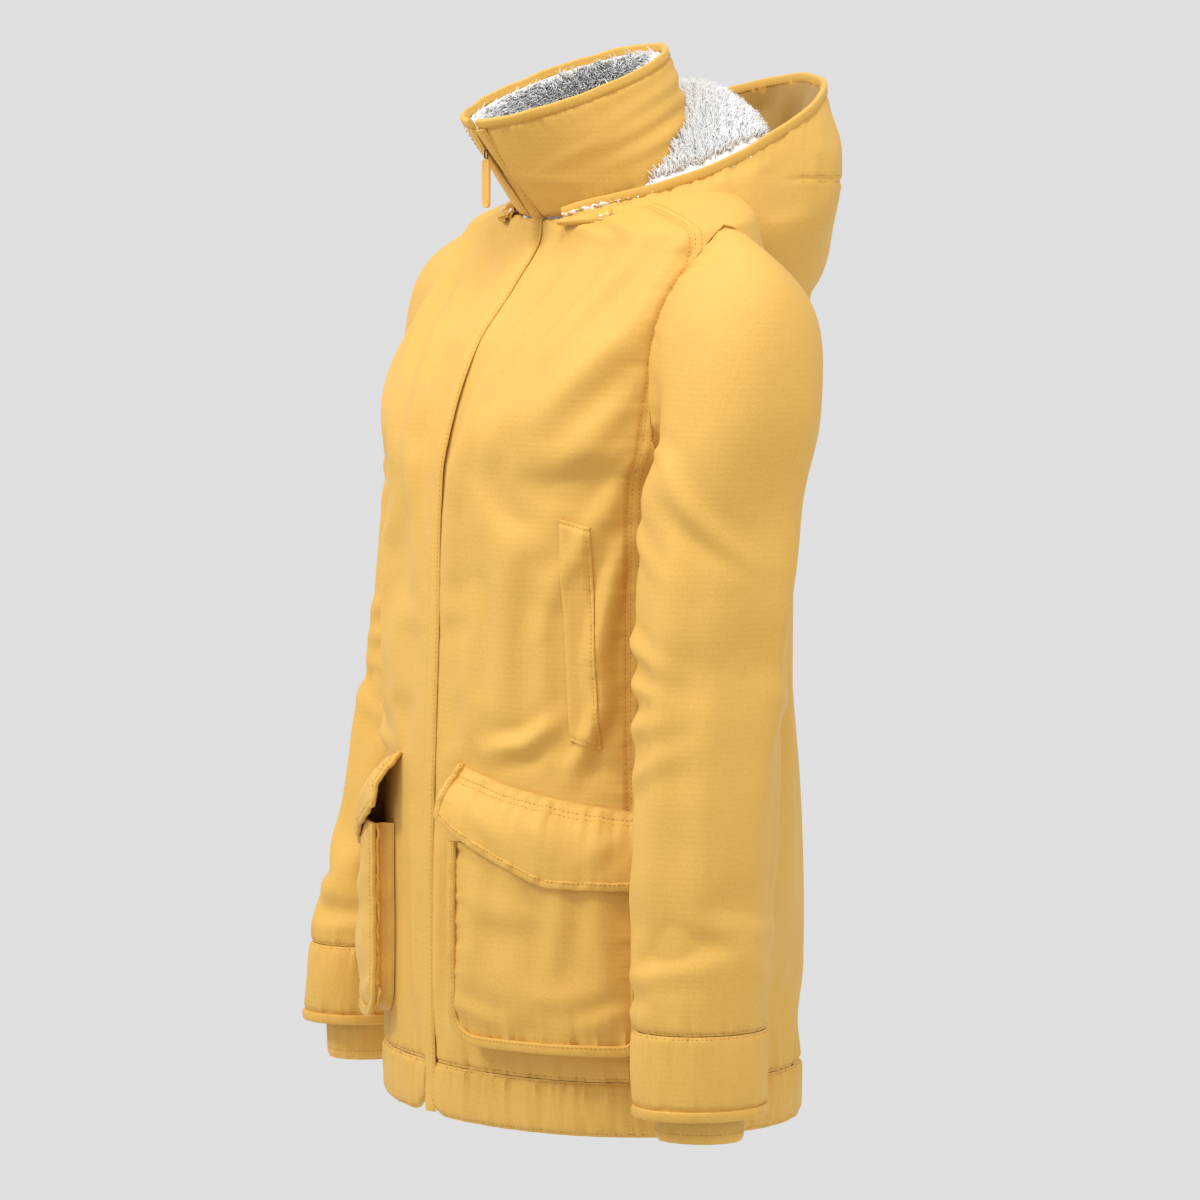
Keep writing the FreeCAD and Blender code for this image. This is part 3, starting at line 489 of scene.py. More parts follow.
# ------------------------------------------------------------------ nets of cloth
@dataclass
class Net:
    """A rectangular net of cloth points, rows upwards and columns around.

    Attributes:
        points: rows by columns by three.
        normals: outward unit normals of the same shape.
        keep: cells that are cloth, or None for all.
        closed: whether the last column joins the first.
    """

    points: Array
    normals: Array
    keep: Optional[Array] = None
    closed: bool = False

    def moved(self, lift: Array, drift: Optional[Array] = None, floor: float = -20.0) -> "Net":
        """The net moved along its normals.

        Args:
            lift: distance for each point.
            drift: extra movement in space for each point.
            floor: the furthest that a point may sink.

        Returns:
            A new net with new normals.
        """
        step = self.normals * np.asarray(lift)[..., None]
        if drift is not None:
            step = step + drift
        depth = (step * self.normals).sum(-1, keepdims=True)
        points = self.points + step + self.normals * np.maximum(floor - depth, 0)
        return Net(points, net_normals(points, self.closed, self.normals), self.keep, self.closed)

    def mirrored(self) -> "Net":
        """The same net on the wearer's other side."""
        flip = np.array([-1.0, 1.0, 1.0])
        keep = None if self.keep is None else self.keep[:, ::-1]
        return Net(self.points[:, ::-1] * flip, self.normals[:, ::-1] * flip, keep, self.closed)

    def area(self) -> float:
        """The area of the kept cells in square metres."""
        p = np.concatenate([self.points, self.points[:, :1]], 1) if self.closed else self.points
        first = p[1:, 1:] - p[:-1, :-1]
        second = p[1:, :-1] - p[:-1, 1:]
        cells = 0.5 * np.linalg.norm(np.cross(first, second), axis=-1)
        if self.keep is not None:
            cells = cells * self.keep
        return float(cells.sum()) * MM * MM

    def spans(self) -> Tuple[float, float]:
        """The longest width and length of the net in metres."""
        p = np.concatenate([self.points, self.points[:, :1]], 1) if self.closed else self.points
        wide = np.linalg.norm(np.diff(p, axis=1), axis=-1)
        tall = np.linalg.norm(np.diff(p, axis=0), axis=-1)
        if self.keep is not None:
            kept = np.concatenate([self.keep, self.keep[-1:]], 0)
            wide = wide * kept
            kept = np.concatenate([self.keep, self.keep[:, -1:]], 1)
            tall = tall * kept[:, : tall.shape[1]]
        return float(wide.sum(1).max()) * MM, float(tall.sum(0).max()) * MM

    def line(self, edge: Edge, inset: float) -> Line:
        """A line on the net at a distance from one of its edges.

        Args:
            edge: the edge it follows.
            inset: distance from the edge.

        Returns:
            The line's points and their normals.
        """
        points, normals = self.points, self.normals
        if edge in (Edge.START, Edge.END):
            points, normals = points.transpose(1, 0, 2), normals.transpose(1, 0, 2)
        if edge in (Edge.END, Edge.TOP):
            points, normals = points[::-1], normals[::-1]
        run = np.linalg.norm(np.diff(points, axis=0), axis=-1)
        run = np.concatenate([np.zeros((1, run.shape[1])), np.cumsum(run, 0)])
        count = points.shape[1]
        spots, ways = np.zeros((count, 3)), np.zeros((count, 3))
        for column in range(count):
            for axis in range(3):
                spots[column, axis] = np.interp(inset, run[:, column], points[:, column, axis])
                ways[column, axis] = np.interp(inset, run[:, column], normals[:, column, axis])
        if self.closed and edge in (Edge.TOP, Edge.BOTTOM):
            spots, ways = np.vstack([spots, spots[:1]]), np.vstack([ways, ways[:1]])
        return spots, unit(ways)

    def edge_distance(self) -> Dict[Edge, Array]:
        """How far each point is from each edge of the net."""
        wide = np.linalg.norm(np.diff(self.points, axis=1), axis=-1)
        tall = np.linalg.norm(np.diff(self.points, axis=0), axis=-1)
        rows, columns = self.points.shape[:2]
        left = np.concatenate([np.zeros((rows, 1)), np.cumsum(wide, 1)], 1)
        low = np.concatenate([np.zeros((1, columns)), np.cumsum(tall, 0)], 0)
        return {
            Edge.START: left, Edge.END: left[:, -1:] - left,
            Edge.BOTTOM: low, Edge.TOP: low[-1:] - low,
        }


def net_normals(points: Array, closed: bool, like: Optional[Array] = None) -> Array:
    """Normals of a net from its neighbours.

    Args:
        points: the net's points.
        closed: whether the columns form a ring.
        like: normals that fill places where the net has no area.

    Returns:
        Unit normals, outward where rows go up and columns go around to the left.
    """
    if closed:
        around = np.roll(points, -1, 1) - np.roll(points, 1, 1)
    else:
        around = np.gradient(points, axis=1)
    upward = np.gradient(points, axis=0)
    cross = np.cross(around, upward)
    size = np.linalg.norm(cross, axis=-1, keepdims=True)
    found = cross / np.maximum(size, 1e-9)
    if like is None:
        return found
    return np.where(size < 1e-6, like, found)


def spread(low: float, high: float, step: float, fine: float, margin: float) -> Array:
    """Positions from low to high, closer together near both ends.

    Args:
        low: first position.
        high: last position.
        step: spacing in the middle.
        fine: spacing near the ends.
        margin: width of each fine zone.

    Returns:
        The positions in order.
    """
    count = max(2, int(round(margin / fine)))
    first = np.linspace(low, low + margin, count + 1)
    last = np.linspace(high - margin, high, count + 1)
    inner = max(2, int(round((high - low - 2 * margin) / step)) + 1)
    middle = np.linspace(low + margin, high - margin, inner)
    return np.concatenate([first, middle[1:-1], last])


def solid_faces(keep: Array, columns: int, closed: bool) -> Array:
    """Quads of a closed thin solid over a net.

    Args:
        keep: cells that are cloth.
        columns: number of columns of points.
        closed: whether the columns form a ring.

    Returns:
        Quads of point numbers; the inner sheet's points follow the outer sheet's.
    """
    rows = keep.shape[0] + 1
    total = rows * columns
    row, column = np.nonzero(keep)
    after = (column + 1) % columns
    a, b = row * columns + column, row * columns + after
    c, d = (row + 1) * columns + after, (row + 1) * columns + column
    faces = [np.stack([a, b, c, d], 1), np.stack([d, c, b, a], 1) + total]
    padded = np.pad(keep, 1)
    if closed:
        padded[1:-1, 0], padded[1:-1, -1] = keep[:, -1], keep[:, 0]
    below, above = padded[:-2, 1:-1], padded[2:, 1:-1]
    before, behind = padded[1:-1, :-2], padded[1:-1, 2:]
    for near, first, second in ((below, a, b), (behind, b, c), (above, c, d), (before, d, a)):
        open_edge = ~near[row, column]
        p, q = first[open_edge], second[open_edge]
        faces.append(np.stack([q, p, p + total, q + total], 1))
    return np.concatenate(faces)


def close_outward(piece: bpy.types.Object) -> None:
    """Turn a closed piece's faces outward."""
    bm = bmesh.new()
    bm.from_mesh(piece.data)
    bmesh.ops.recalc_face_normals(bm, faces=bm.faces)
    bm.to_mesh(piece.data)
    bm.free()


@dataclass
class Workshop:
    """Turns nets and shapes into finished pieces of the coat."""

    finishes: Finishes
    made: List[bpy.types.Object] = field(default_factory=list)

    def mesh(self, name: str, points: Array, faces: Sequence[Sequence[int]],
             material: bpy.types.Material, smooth_angle: float = 50.0,
             merge: bool = False) -> bpy.types.Object:
        """Make an object at the origin from points in the coat's frame.

        Args:
            name: name of the piece.
            points: points in millimetres.
            faces: lists of point numbers.
            material: the piece's finish.
            smooth_angle: edges sharper than this stay crisp.
            merge: whether points in one place become one.

        Returns:
            The new object.
        """
        data = bpy.data.meshes.new(name)
        spots = np.asarray(points).reshape(-1, 3) * MM + TO_ROW
        faces = [list(map(int, f)) for f in faces]
        data.from_pydata(spots.tolist(), [], faces)
        bm = bmesh.new()
        bm.from_mesh(data)
        if merge:
            bmesh.ops.remove_doubles(bm, verts=bm.verts, dist=1e-6)
            bmesh.ops.dissolve_degenerate(bm, edges=bm.edges, dist=1e-7)
        loose = [v for v in bm.verts if not v.link_faces]
        bmesh.ops.delete(bm, geom=loose, context="VERTS")
        bm.to_mesh(data)
        bm.free()
        data.validate()
        data.materials.append(material)
        data.set_sharp_from_angle(angle=math.radians(smooth_angle))
        for polygon in data.polygons:
            polygon.use_smooth = True
        piece = bpy.data.objects.new(name, data)
        bpy.context.scene.collection.objects.link(piece)
        self.made.append(piece)
        return piece

    def cloth(self, name: str, net: Net, thickness: float, material: bpy.types.Material,
              merge: bool = False) -> bpy.types.Object:
        """Make a closed sheet of cloth whose outer face is the net.

        Args:
            name: name of the piece.
            net: the outer face.
            thickness: distance to the inner face.
            material: the piece's finish.
            merge: whether points in one place become one.

        Returns:
            The new object.
        """
        rows, columns = net.points.shape[:2]
        keep = net.keep
        if keep is None:
            keep = np.ones((rows - 1, columns if net.closed else columns - 1), bool)
        inner = net.points - net.normals * thickness
        points = np.concatenate([net.points.reshape(-1, 3), inner.reshape(-1, 3)])
        return self.mesh(name, points, solid_faces(keep, columns, net.closed), material, merge=merge)

    def tube(self, name: str, net: Net, material: bpy.types.Material,
             ring: bool = False) -> bpy.types.Object:
        """Make a closed tube from a swept outline.

        Args:
            name: name of the piece.
            net: the swept net, with a ring of columns in each row.
            material: the piece's finish.
            ring: whether the last row joins the first.

        Returns:
            The new object.
        """
        rows, columns = net.points.shape[:2]
        faces = []
        for row in range(rows if ring else rows - 1):
            after = (row + 1) % rows
            for column in range(columns):
                beside = (column + 1) % columns
                faces.append((row * columns + column, after * columns + column,
                              after * columns + beside, row * columns + beside))
        if not ring:
            faces.append(list(range(columns)))
            faces.append([(rows - 1) * columns + column for column in range(columns)][::-1])
        piece = self.mesh(name, net.points, faces, material, 60)
        close_outward(piece)
        return piece

    def sew(self, name: str, net: Net, base: Net, nodes: Tuple[str, ...], rests_on: Tuple[str, ...],
            thread: str = "", lines: Sequence[Line] = (), side: Side = Side.LEFT, body: str = "coat",
            finish: str = "shell", thickness: float = 2.0, held: str = "hung", slack: float = 1.0,
            merge: bool = False, pitch: float = 3.7) -> List[bpy.types.Object]:
        """Args:
            name: name of the sheet.
            net: its outer face, as on the wearer's left.
            base: the net before it was draped.
            nodes: the CAD nodes it stands for.
            rests_on: what it hangs from or lies on; not used.
            thread: name of its stitches, or nothing.
            lines: points and normals of each row of stitches.
            side: the wearer's side.
            body: the CAD body it moves with, or nothing for cloth that bends.
            finish: its finish.
            thickness: distance to its inner face.
            held: how it is held; not used.
            slack: how much larger the cut is than the net.
            merge: whether points in one place become one.
            pitch: length of one stitch with its gap.

        Returns:
            The sheet, and its stitches if it has some.
        """
        if side is Side.RIGHT:
            net, lines = net.mirrored(), flipped(lines)
        sheet = self.cloth(name, net, thickness, getattr(self.finishes, finish), merge)
        sewn = [self.stitches(thread, lines, pitch)] if thread else []
        dress(sheet, body, nodes)
        for row in sewn:
            dress(row, body)
        declare(base, slack)
        return [sheet, *sewn]

    def bind(self, name: str, net: Net, node: str, thread: str, lines: Sequence[Line],
             side: Side = Side.LEFT, body: str = "coat") -> List[bpy.types.Object]:
        """Make a folded binding with its stitches.

        Args:
            name: name of the binding.
            net: the swept band, as on the wearer's left.
            node: the CAD node it stands for.
            thread: name of its stitches.
            lines: points and normals of each row of stitches.
            side: the wearer's side.
            body: the CAD body it moves with, or nothing for cloth that bends.

        Returns:
            The binding and its stitches.
        """
        if side is Side.RIGHT:
            net, lines = Net(net.points * FLIP, net.normals * FLIP, None, True), flipped(lines)
        band = self.tube(name, net, self.finishes.shell_edge)
        sewn = self.stitches(thread, lines)
        dress(band, body, (node,))
        dress(sewn, body)
        return [band, sewn]

    def stitches(self, name: str, lines: Sequence[Line], pitch: float = 3.7) -> bpy.types.Object:
        """Sew rows of thread dashes along lines.

        Args:
            name: name of the piece.
            lines: points and normals of each row of stitches.
            pitch: length of one stitch with its gap.

        Returns:
            One object with all the dashes.
        """
        shape = np.array([
            [-1.0, 0, 0], [-0.6, -1, 0.25], [-0.6, 0, 0.95], [-0.6, 1, 0.25],
            [0.6, -1, 0.25], [0.6, 0, 0.95], [0.6, 1, 0.25], [1.0, 0, 0],
            [-0.6, 0, -0.6], [0.6, 0, -0.6],
        ])
        sides = [
            (0, 2, 1), (0, 3, 2), (0, 1, 8), (0, 8, 3), (1, 2, 5, 4), (2, 3, 6, 5),
            (3, 8, 9, 6), (8, 1, 4, 9), (7, 4, 5), (7, 5, 6), (7, 9, 4), (7, 6, 9),
        ]
        points, faces = [], []
        for spots, ways in lines:
            run = lengths(spots)
            count = int(run[-1] / pitch)
            if count < 1:
                continue
            middles = (np.arange(count) + 0.5) * (run[-1] / count)
            ends = []
            for reach in (-0.36 * pitch, 0.36 * pitch):
                ends.append(along_line(spots, run, middles + reach))
            normal = unit(along_line(ways, run, middles))
            middle, along = (ends[0] + ends[1]) / 2, ends[1] - ends[0]
            length = np.linalg.norm(along, axis=1, keepdims=True)
            along = along / np.maximum(length, 1e-6)
            across = np.cross(normal, along)
            for k in range(count):
                base = len(points) * len(shape)
                basis = np.stack([along[k] * length[k] * 0.5, across[k] * 0.34, normal[k] * 0.42])
                points.append(middle[k] + shape @ basis)
                faces.extend([[base + i for i in face] for face in sides])
        return self.mesh(name, np.concatenate(points), faces, self.finishes.thread, smooth_angle=80)

    def tufts(self, name: str, net: Net, count: int, length: float, seed: int, lean: Point,
              where: Optional[Callable[[Array], Array]] = None) -> bpy.types.Object:
        """Grow soft tufts of pile on a net.

        Args:
            name: name of the piece.
            net: the pile's base cloth.
            count: number of tufts.
            length: length of a tuft.
            seed: seed of the tufts' scatter.
            lean: direction that the tufts lean in.
            where: weight of each cell from its middle point.

        Returns:
            One object with all the tufts.
        """
        rng = np.random.default_rng(seed)
        p, n = net.points, net.normals
        cell = np.linalg.norm(np.cross(p[1:, 1:] - p[:-1, :-1], p[1:, :-1] - p[:-1, 1:]), axis=-1)
        if where is not None:
            cell = cell * where((p[1:, 1:] + p[:-1, :-1]) / 2)
        share = np.cumsum(cell.ravel()) / cell.sum()
        picks = np.searchsorted(share, rng.random(count))
        row, column = np.unravel_index(np.minimum(picks, cell.size - 1), cell.shape)
        u, v = rng.random((count, 1)), rng.random((count, 1))
        root = ((1 - u) * (1 - v) * p[row, column] + u * (1 - v) * p[row, column + 1]
                + (1 - u) * v * p[row + 1, column] + u * v * p[row + 1, column + 1])
        normal = n[row, column]
        clump = np.sin(root @ np.array([0.9, 0.7, 0.8]) * 0.55)[:, None] * 0.35
        side = unit(np.cross(normal, rng.normal(size=(count, 3))))
        way = unit(normal + side * (0.55 * rng.random((count, 1)) + clump) + np.asarray(lean) * 0.6)
        size = length * (0.65 + 0.6 * rng.random((count, 1)))
        curl = side * size * 0.35 * (rng.random((count, 1)) - 0.2)
        first = unit(np.cross(way, normal + 0.01))
        second = np.cross(way, first)
        rings = []
        for reach, thick in ((0.0, 0.75), (0.45, 0.6), (0.8, 0.36)):
            centre = root + way * size * reach + curl * reach ** 2
            for turn in range(3):
                a = 2 * math.pi * turn / 3
                rings.append(centre + (first * math.cos(a) + second * math.sin(a)) * thick)
        tip = root + way * size + curl
        points = np.stack([*rings, tip], 1)
        shape = []
        for level in (0, 3):
            for turn in range(3):
                after = (turn + 1) % 3
                shape.append((level + turn, level + after, level + 3 + after, level + 3 + turn))
        shape += [(6 + turn, 6 + (turn + 1) % 3, 9, 9) for turn in range(3)]
        shape += [(2, 1, 0, 0)]
        faces = (np.arange(count)[:, None, None] * 10 + np.array(shape)[None]).reshape(-1, 4)
        faces = [f[:3] if f[2] == f[3] else f for f in faces.tolist()]
        return self.mesh(name, points.reshape(-1, 3), faces, self.finishes.pile, smooth_angle=180)


# ------------------------------------------------------------------ drape
@dataclass(frozen=True)
class Fold:
    """A soft fold along a line of (angle, height) points.

    Attributes:
        path: the fold's crest, as angles and heights.
        width: distance at which it has mostly gone.
        rise: its height; negative for a hollow.
        trough: share of the rise that sinks beside it.
    """

    path: Tuple[Tuple[float, float], ...]
    width: float
    rise: float
    trough: float = 0.45

    def lift(self, across: Array, height: Array) -> Array:
        """The fold's lift.

        Args:
            across: distance around the body.
            height: height on the body.

        Returns:
            The lift at each place.
        """
        nodes = np.array([[angle * DEGREE, level] for angle, level in self.path])
        best, share = np.full(across.shape, 1e9), np.zeros(across.shape)
        reach = lengths(nodes)
        for index in range(len(nodes) - 1):
            start, way = nodes[index], nodes[index + 1] - nodes[index]
            length = np.linalg.norm(way)
            along = ((across - start[0]) * way[0] + (height - start[1]) * way[1]) / length ** 2
            along = np.clip(along, 0, 1)
            gap = np.hypot(across - start[0] - along * way[0], height - start[1] - along * way[1])
            nearer = gap < best
            best = np.where(nearer, gap, best)
            share = np.where(nearer, (reach[index] + along * length) / reach[-1], share)
        taper = np.sin(np.pi * np.clip(share, 0.04, 0.96)) ** 0.7
        crest = np.exp(-((best / self.width) ** 2))
        hollow = np.exp(-(((best - 1.7 * self.width) / (0.9 * self.width)) ** 2))
        return self.rise * taper * (crest - self.trough * hollow)


FRONT_FOLDS = (
    Fold(((26, 702), (21, 640), (13, 560), (9, 470), (8, 400)), 13, 6.9),
    Fold(((44, 690), (36, 640), (24, 560), (16, 500)), 17, 5.6),
    Fold(((60, 652), (51, 610), (38, 560), (26, 530)), 20, 7.7),
    Fold(((62, 600), (55, 560), (44, 520), (33, 505)), 15, 5.2),
    Fold(((63, 512), (55, 470), (47, 415)), 12, 7.7),
    Fold(((64, 480), (59, 430), (56, 370), (57, 300)), 11, 9.2),
    Fold(((58, 500), (52, 450), (45, 380)), 10, -3.6, 0.2),
    Fold(((33, 480), (30, 410), (29, 330), (31, 285)), 18, 6.5),
    Fold(((43, 450), (40, 380), (41, 300)), 11, 5.1),
    Fold(((20, 430), (18, 340), (19, 280)), 13, 4.3),
    Fold(((46, 322), (36, 300), (24, 292)), 8, 5.1),
    Fold(((58, 340), (52, 300), (48, 276)), 8, 5.6),
    Fold(((5, 240), (6, 160), (5, 70)), 9, 3.6),
    Fold(((9, 200), (9, 120), (8, 60)), 7, -2.6, 0.2),
)
BACK_FOLDS = (
    Fold(((82, 500), (88, 430), (84, 330), (86, 210)), 17, 5.0),
    Fold(((101, 505), (108, 430), (104, 320), (108, 120)), 20, 5.2),
    Fold(((125, 560), (128, 470), (122, 350), (127, 150)), 22, 4.4),
    Fold(((150, 575), (146, 480), (152, 330), (147, 110)), 26, 4.6),
    Fold(((172, 590), (176, 470), (170, 330), (174, 90)), 24, 3.8),
    Fold(((196, 560), (190, 430), (195, 240), (192, 90)), 23, 4.4),
    Fold(((221, 575), (226, 430), (219, 260), (224, 120)), 25, 4.6),
    Fold(((246, 550), (243, 420), (249, 300), (244, 130)), 20, 4.8),
    Fold(((268, 505), (262, 400), (268, 300), (263, 160)), 18, 5.0),
    Fold(((284, 490), (279, 380), (283, 240)), 14, 4.0),
    Fold(((118, 585), (140, 560), (165, 540)), 16, 3.2),
    Fold(((242, 588), (222, 556), (200, 545)), 16, 3.0),
)
YOKE_FOLDS = (
    Fold(((72, 700), (66, 690), (58, 680)), 8, 1.4),
    Fold(((150, 708), (140, 670), (128, 630)), 16, 2.6),
    Fold(((205, 706), (216, 668), (230, 632)), 16, 2.6),
)


class Drape:
    """How the shell cloth hangs over the form: folds, ripples and puckers."""

    def __init__(self, side: Side, seed: int) -> None:
        """Draw the ripples for one side.

        Args:
            side: the side whose folds these are.
            seed: seed of the ripples.
        """
        rng = np.random.default_rng(seed)
        self.side = side
        self.waves = []
        for _ in range(9):
            length = rng.uniform(70, 190)
            turn = rng.normal(0.0, 0.5)
            self.waves.append((
                2 * math.pi / length * math.cos(turn), 2 * math.pi / (length * 1.9) * math.sin(turn * 2),
                rng.uniform(0, 2 * math.pi), rng.uniform(0.25, 0.6),
            ))

    def lift(self, angle: Array, height: Array) -> Array:
        """The drape of the body at angles on the wearer's left and heights.

        Args:
            angle: angles in degrees, zero at the centre front.
            height: heights in millimetres.

        Returns:
            How far the cloth stands off the form.
        """
        across = np.asarray(angle, float) * DEGREE
        height = np.asarray(height, float)
        total = np.zeros(np.broadcast(across, height).shape)
        strength = 1.0 if self.side is Side.LEFT else 0.85
        shift = 0.0 if self.side is Side.LEFT else 9.0
        for fold in FRONT_FOLDS:
            total += strength * fold.lift(across, height + shift)
        for fold in BACK_FOLDS + YOKE_FOLDS:
            total += fold.lift(across, height)
        for around, upward, phase, size in self.waves:
            total += size * np.sin(around * across + upward * height + phase)
        calm = np.clip((height - 20) / 60, 0.25, 1) * np.clip((728 - height) / 40, 0, 1)
        seam = np.clip(np.minimum(across, 360 * DEGREE - across) / 22, 0.12, 1)
        total = total * calm * seam
        return np.where(total < 0, 2.6 * np.tanh(total / 2.6), total)


DRAPES = {Side.LEFT: Drape(Side.LEFT, 11), Side.RIGHT: Drape(Side.RIGHT, 23)}


def pucker(along: Array, distance: Array, size: float, reach: float, seed: int) -> Array:
    """Small gathers beside a line of stitches.

    Args:
        along: distance along the seam.
        distance: distance from the seam.
        size: height of the gathers.
        reach: how far they run out from the seam.
        seed: seed of their spacing.

    Returns:
        The lift at each place.
    """
    rng = np.random.default_rng(seed)
    wave = np.zeros(np.shape(along))
    for length in (6.5, 9.5, 14.0, 21.0, 33.0):
        wave = wave + rng.uniform(0.5, 1.0) * np.sin(2 * math.pi * along / length + rng.uniform(0, 6.3))
    fade = np.exp(-((distance / reach) ** 1.4)) * (1 - np.exp(-((distance / 1.6) ** 2)) * 0.6)
    return size * wave * fade * 0.5


def seam_roll(net: Net, edges: Sequence[Edge], depth: float = 1.4, width: float = 2.6) -> Array:
    """How far a net sinks along its sewn edges.

    Args:
        net: the net.
        edges: the edges that are sewn.
        depth: how far it sinks at the seam.
        width: how far from the seam it sinks.

    Returns:
        A negative lift for each point.
    """
    away = net.edge_distance()
    total = np.zeros(net.points.shape[:2])
    for edge in edges:
        total = np.minimum(total, -depth * np.exp(-((away[edge] / width) ** 2)))
    return total


def topstitch_dent(net: Net, edge: Edge, inset: float, depth: float = 0.55) -> Array:
    """The shallow channel that a row of stitches pulls into padded cloth."""
    return -depth * np.exp(-(((net.edge_distance()[edge] - inset) / 1.5) ** 2))


def relax(net: Net, pinned: Array, growth: float, frames: int, cap: float, stride: int = 2,
          stiff: float = 2.0, gravity: float = 0.25, press: float = 0.0) -> Array:
    """Let a net of cloth buckle between its pinned seams, with a short cloth simulation.

    Args:
        net: the cloth before it settles.
        pinned: how firmly each point is sewn down, from zero to one.
        growth: share by which the cloth is longer than its place.
        frames: number of steps.
        cap: the most that a point may move.
        stride: every how many rows and columns the simulation uses.
        stiff: bending stiffness.
        gravity: share of real gravity.
        press: pressure that fills the cloth from inside.

    Returns:
        The movement of each point in space.
    """
    rows, columns = net.points.shape[:2]
    pick_rows = np.unique(np.append(np.arange(0, rows, stride), rows - 1))
    pick_columns = np.arange(0, columns, stride)
    if not net.closed:
        pick_columns = np.unique(np.append(pick_columns, columns - 1))
    coarse = net.points[np.ix_(pick_rows, pick_columns)] * MM * 10
    count = coarse.shape[1]
    faces = []
    for row in range(coarse.shape[0] - 1):
        for column in range(count if net.closed else count - 1):
            if net.keep is None or net.keep[pick_rows[row], pick_columns[column]]:
                first, after = row * count + column, row * count + (column + 1) % count
                faces.append((first, after, after + count, first + count))
    data = bpy.data.meshes.new("settling")
    data.from_pydata(coarse.reshape(-1, 3).tolist(), [], faces)
    cloth = bpy.data.objects.new("settling", data)
    bpy.context.scene.collection.objects.link(cloth)
    weights = pinned[np.ix_(pick_rows, pick_columns)].ravel()
    group = cloth.vertex_groups.new(name="sewn")
    for index, weight in enumerate(weights):
        group.add([index], float(weight), "REPLACE")
    rest = np.zeros(len(data.vertices) * 3)
    data.vertices.foreach_get("co", rest)
    modifier = cloth.modifiers.new("settle", "CLOTH")
    settings = modifier.settings
    settings.quality = 4
    settings.mass = 0.25
    settings.vertex_group_mass = "sewn"
    settings.pin_stiffness = 8.0
    settings.tension_stiffness = settings.compression_stiffness = 25.0
    settings.shear_stiffness = 12.0
    settings.bending_stiffness = stiff
    settings.tension_damping = settings.compression_damping = 12.0
    settings.shear_damping = 12.0
    settings.air_damping = 4.0
    settings.shrink_min = -growth
    if press:
        settings.use_pressure = True
        settings.uniform_pressure_force = press
    settings.effector_weights.gravity = gravity
    modifier.collision_settings.use_collision = False
    scene = bpy.context.scene
    scene.frame_start, scene.frame_end = 1, frames
    modifier.point_cache.frame_start, modifier.point_cache.frame_end = 1, frames
    for step in range(1, frames + 1):
        scene.frame_set(step)
    shaped = cloth.evaluated_get(bpy.context.evaluated_depsgraph_get()).to_mesh()
    moved = np.zeros(len(shaped.vertices) * 3)
    shaped.vertices.foreach_get("co", moved)
    shift = ((moved - rest) / (MM * 10)).reshape(coarse.shape)
    bpy.data.objects.remove(cloth, do_unlink=True)
    bpy.data.meshes.remove(data)
    scene.frame_set(1)
    shift = np.nan_to_num(shift)
    length = np.linalg.norm(shift, axis=-1, keepdims=True)
    shift = shift * (cap * np.tanh(length / cap) / np.maximum(length, 1e-9))
    shift = blur(shift, net.closed)
    around = columns if net.closed else None
    full = np.zeros(net.points.shape)
    for axis in range(3):
        across = np.stack([np.interp(np.arange(columns), pick_columns, line, period=around)
                           for line in shift[..., axis]])
        full[..., axis] = np.stack(
            [np.interp(np.arange(rows), pick_rows, across[:, column]) for column in range(columns)], 1
        )
    full = blur(full, net.closed) if stride > 1 else full
    return full * (1 - pinned)[..., None] if pinned.max() > 0 else full


def blur(values: Array, closed: bool) -> Array:
    """Values averaged lightly with their neighbours."""
    padded = np.pad(values, ((1, 1), (0, 0), (0, 0)), mode="edge")
    padded = np.pad(padded, ((0, 0), (1, 1), (0, 0)), mode="wrap" if closed else "edge")
    return (
        padded[1:-1, 1:-1] * 4 + padded[:-2, 1:-1] * 2 + padded[2:, 1:-1] * 2
        + padded[1:-1, :-2] * 2 + padded[1:-1, 2:] * 2 + padded[:-2, :-2] + padded[2:, 2:]
        + padded[:-2, 2:] + padded[2:, :-2]
    ) / 16


def through(a: Array, b: Array, c: Array, d: Array, share: Array) -> Array:
    """Points from b to c on a smooth curve that also passes through a and d."""
    return 0.5 * (2 * b + (c - a) * share + (2 * a - 5 * b + 4 * c - d) * share ** 2
                  + (3 * b - 3 * c + d - a) * share ** 3)


def smooth_line(nodes: Sequence[Point], count: int, closed: bool = False) -> Array:
    """A smooth line through points, evenly spaced by length.

    Args:
        nodes: the points it passes through.
        count: number of points on the line.
        closed: whether the line is a loop.

    Returns:
        The line's points.
    """
    p = np.asarray(nodes, float)
    p = np.vstack([p[-1], p, p[0], p[1]]) if closed else np.vstack([2 * p[0] - p[1], p, 2 * p[-1] - p[-2]])
    share = np.linspace(0, 1, 25)[:-1, None]
    fine = [through(*four, share) for four in zip(p, p[1:], p[2:], p[3:])]
    line = np.vstack([*fine, p[-2:-1]])
    run = lengths(line)
    even = np.linspace(0, run[-1], count + 1 if closed else count)
    line = along_line(line, run, even)
    return line[:-1] if closed else line


def loft(lines: Sequence[Array], rows: int, turned: bool = False) -> Net:
    """A net through guide lines.

    Args:
        lines: guide lines with the same number of points, in order across the net.
        rows: number of rows of the net.
        turned: whether the normals point the other way.

    Returns:
        The net, with rows from the first line to the last.
    """
    stack = np.stack(lines)
    padded = np.concatenate([2 * stack[:1] - stack[1:2], stack, 2 * stack[-1:] - stack[-2:-1]])
    spots = np.linspace(0, len(lines) - 1, rows)
    low = np.minimum(spots.astype(int), len(lines) - 2)
    share = (spots - low)[:, None, None]
    points = through(*(padded[low + k] for k in range(4)), share)
    if turned:
        points = points[:, ::-1]
    return Net(points, net_normals(points, False))


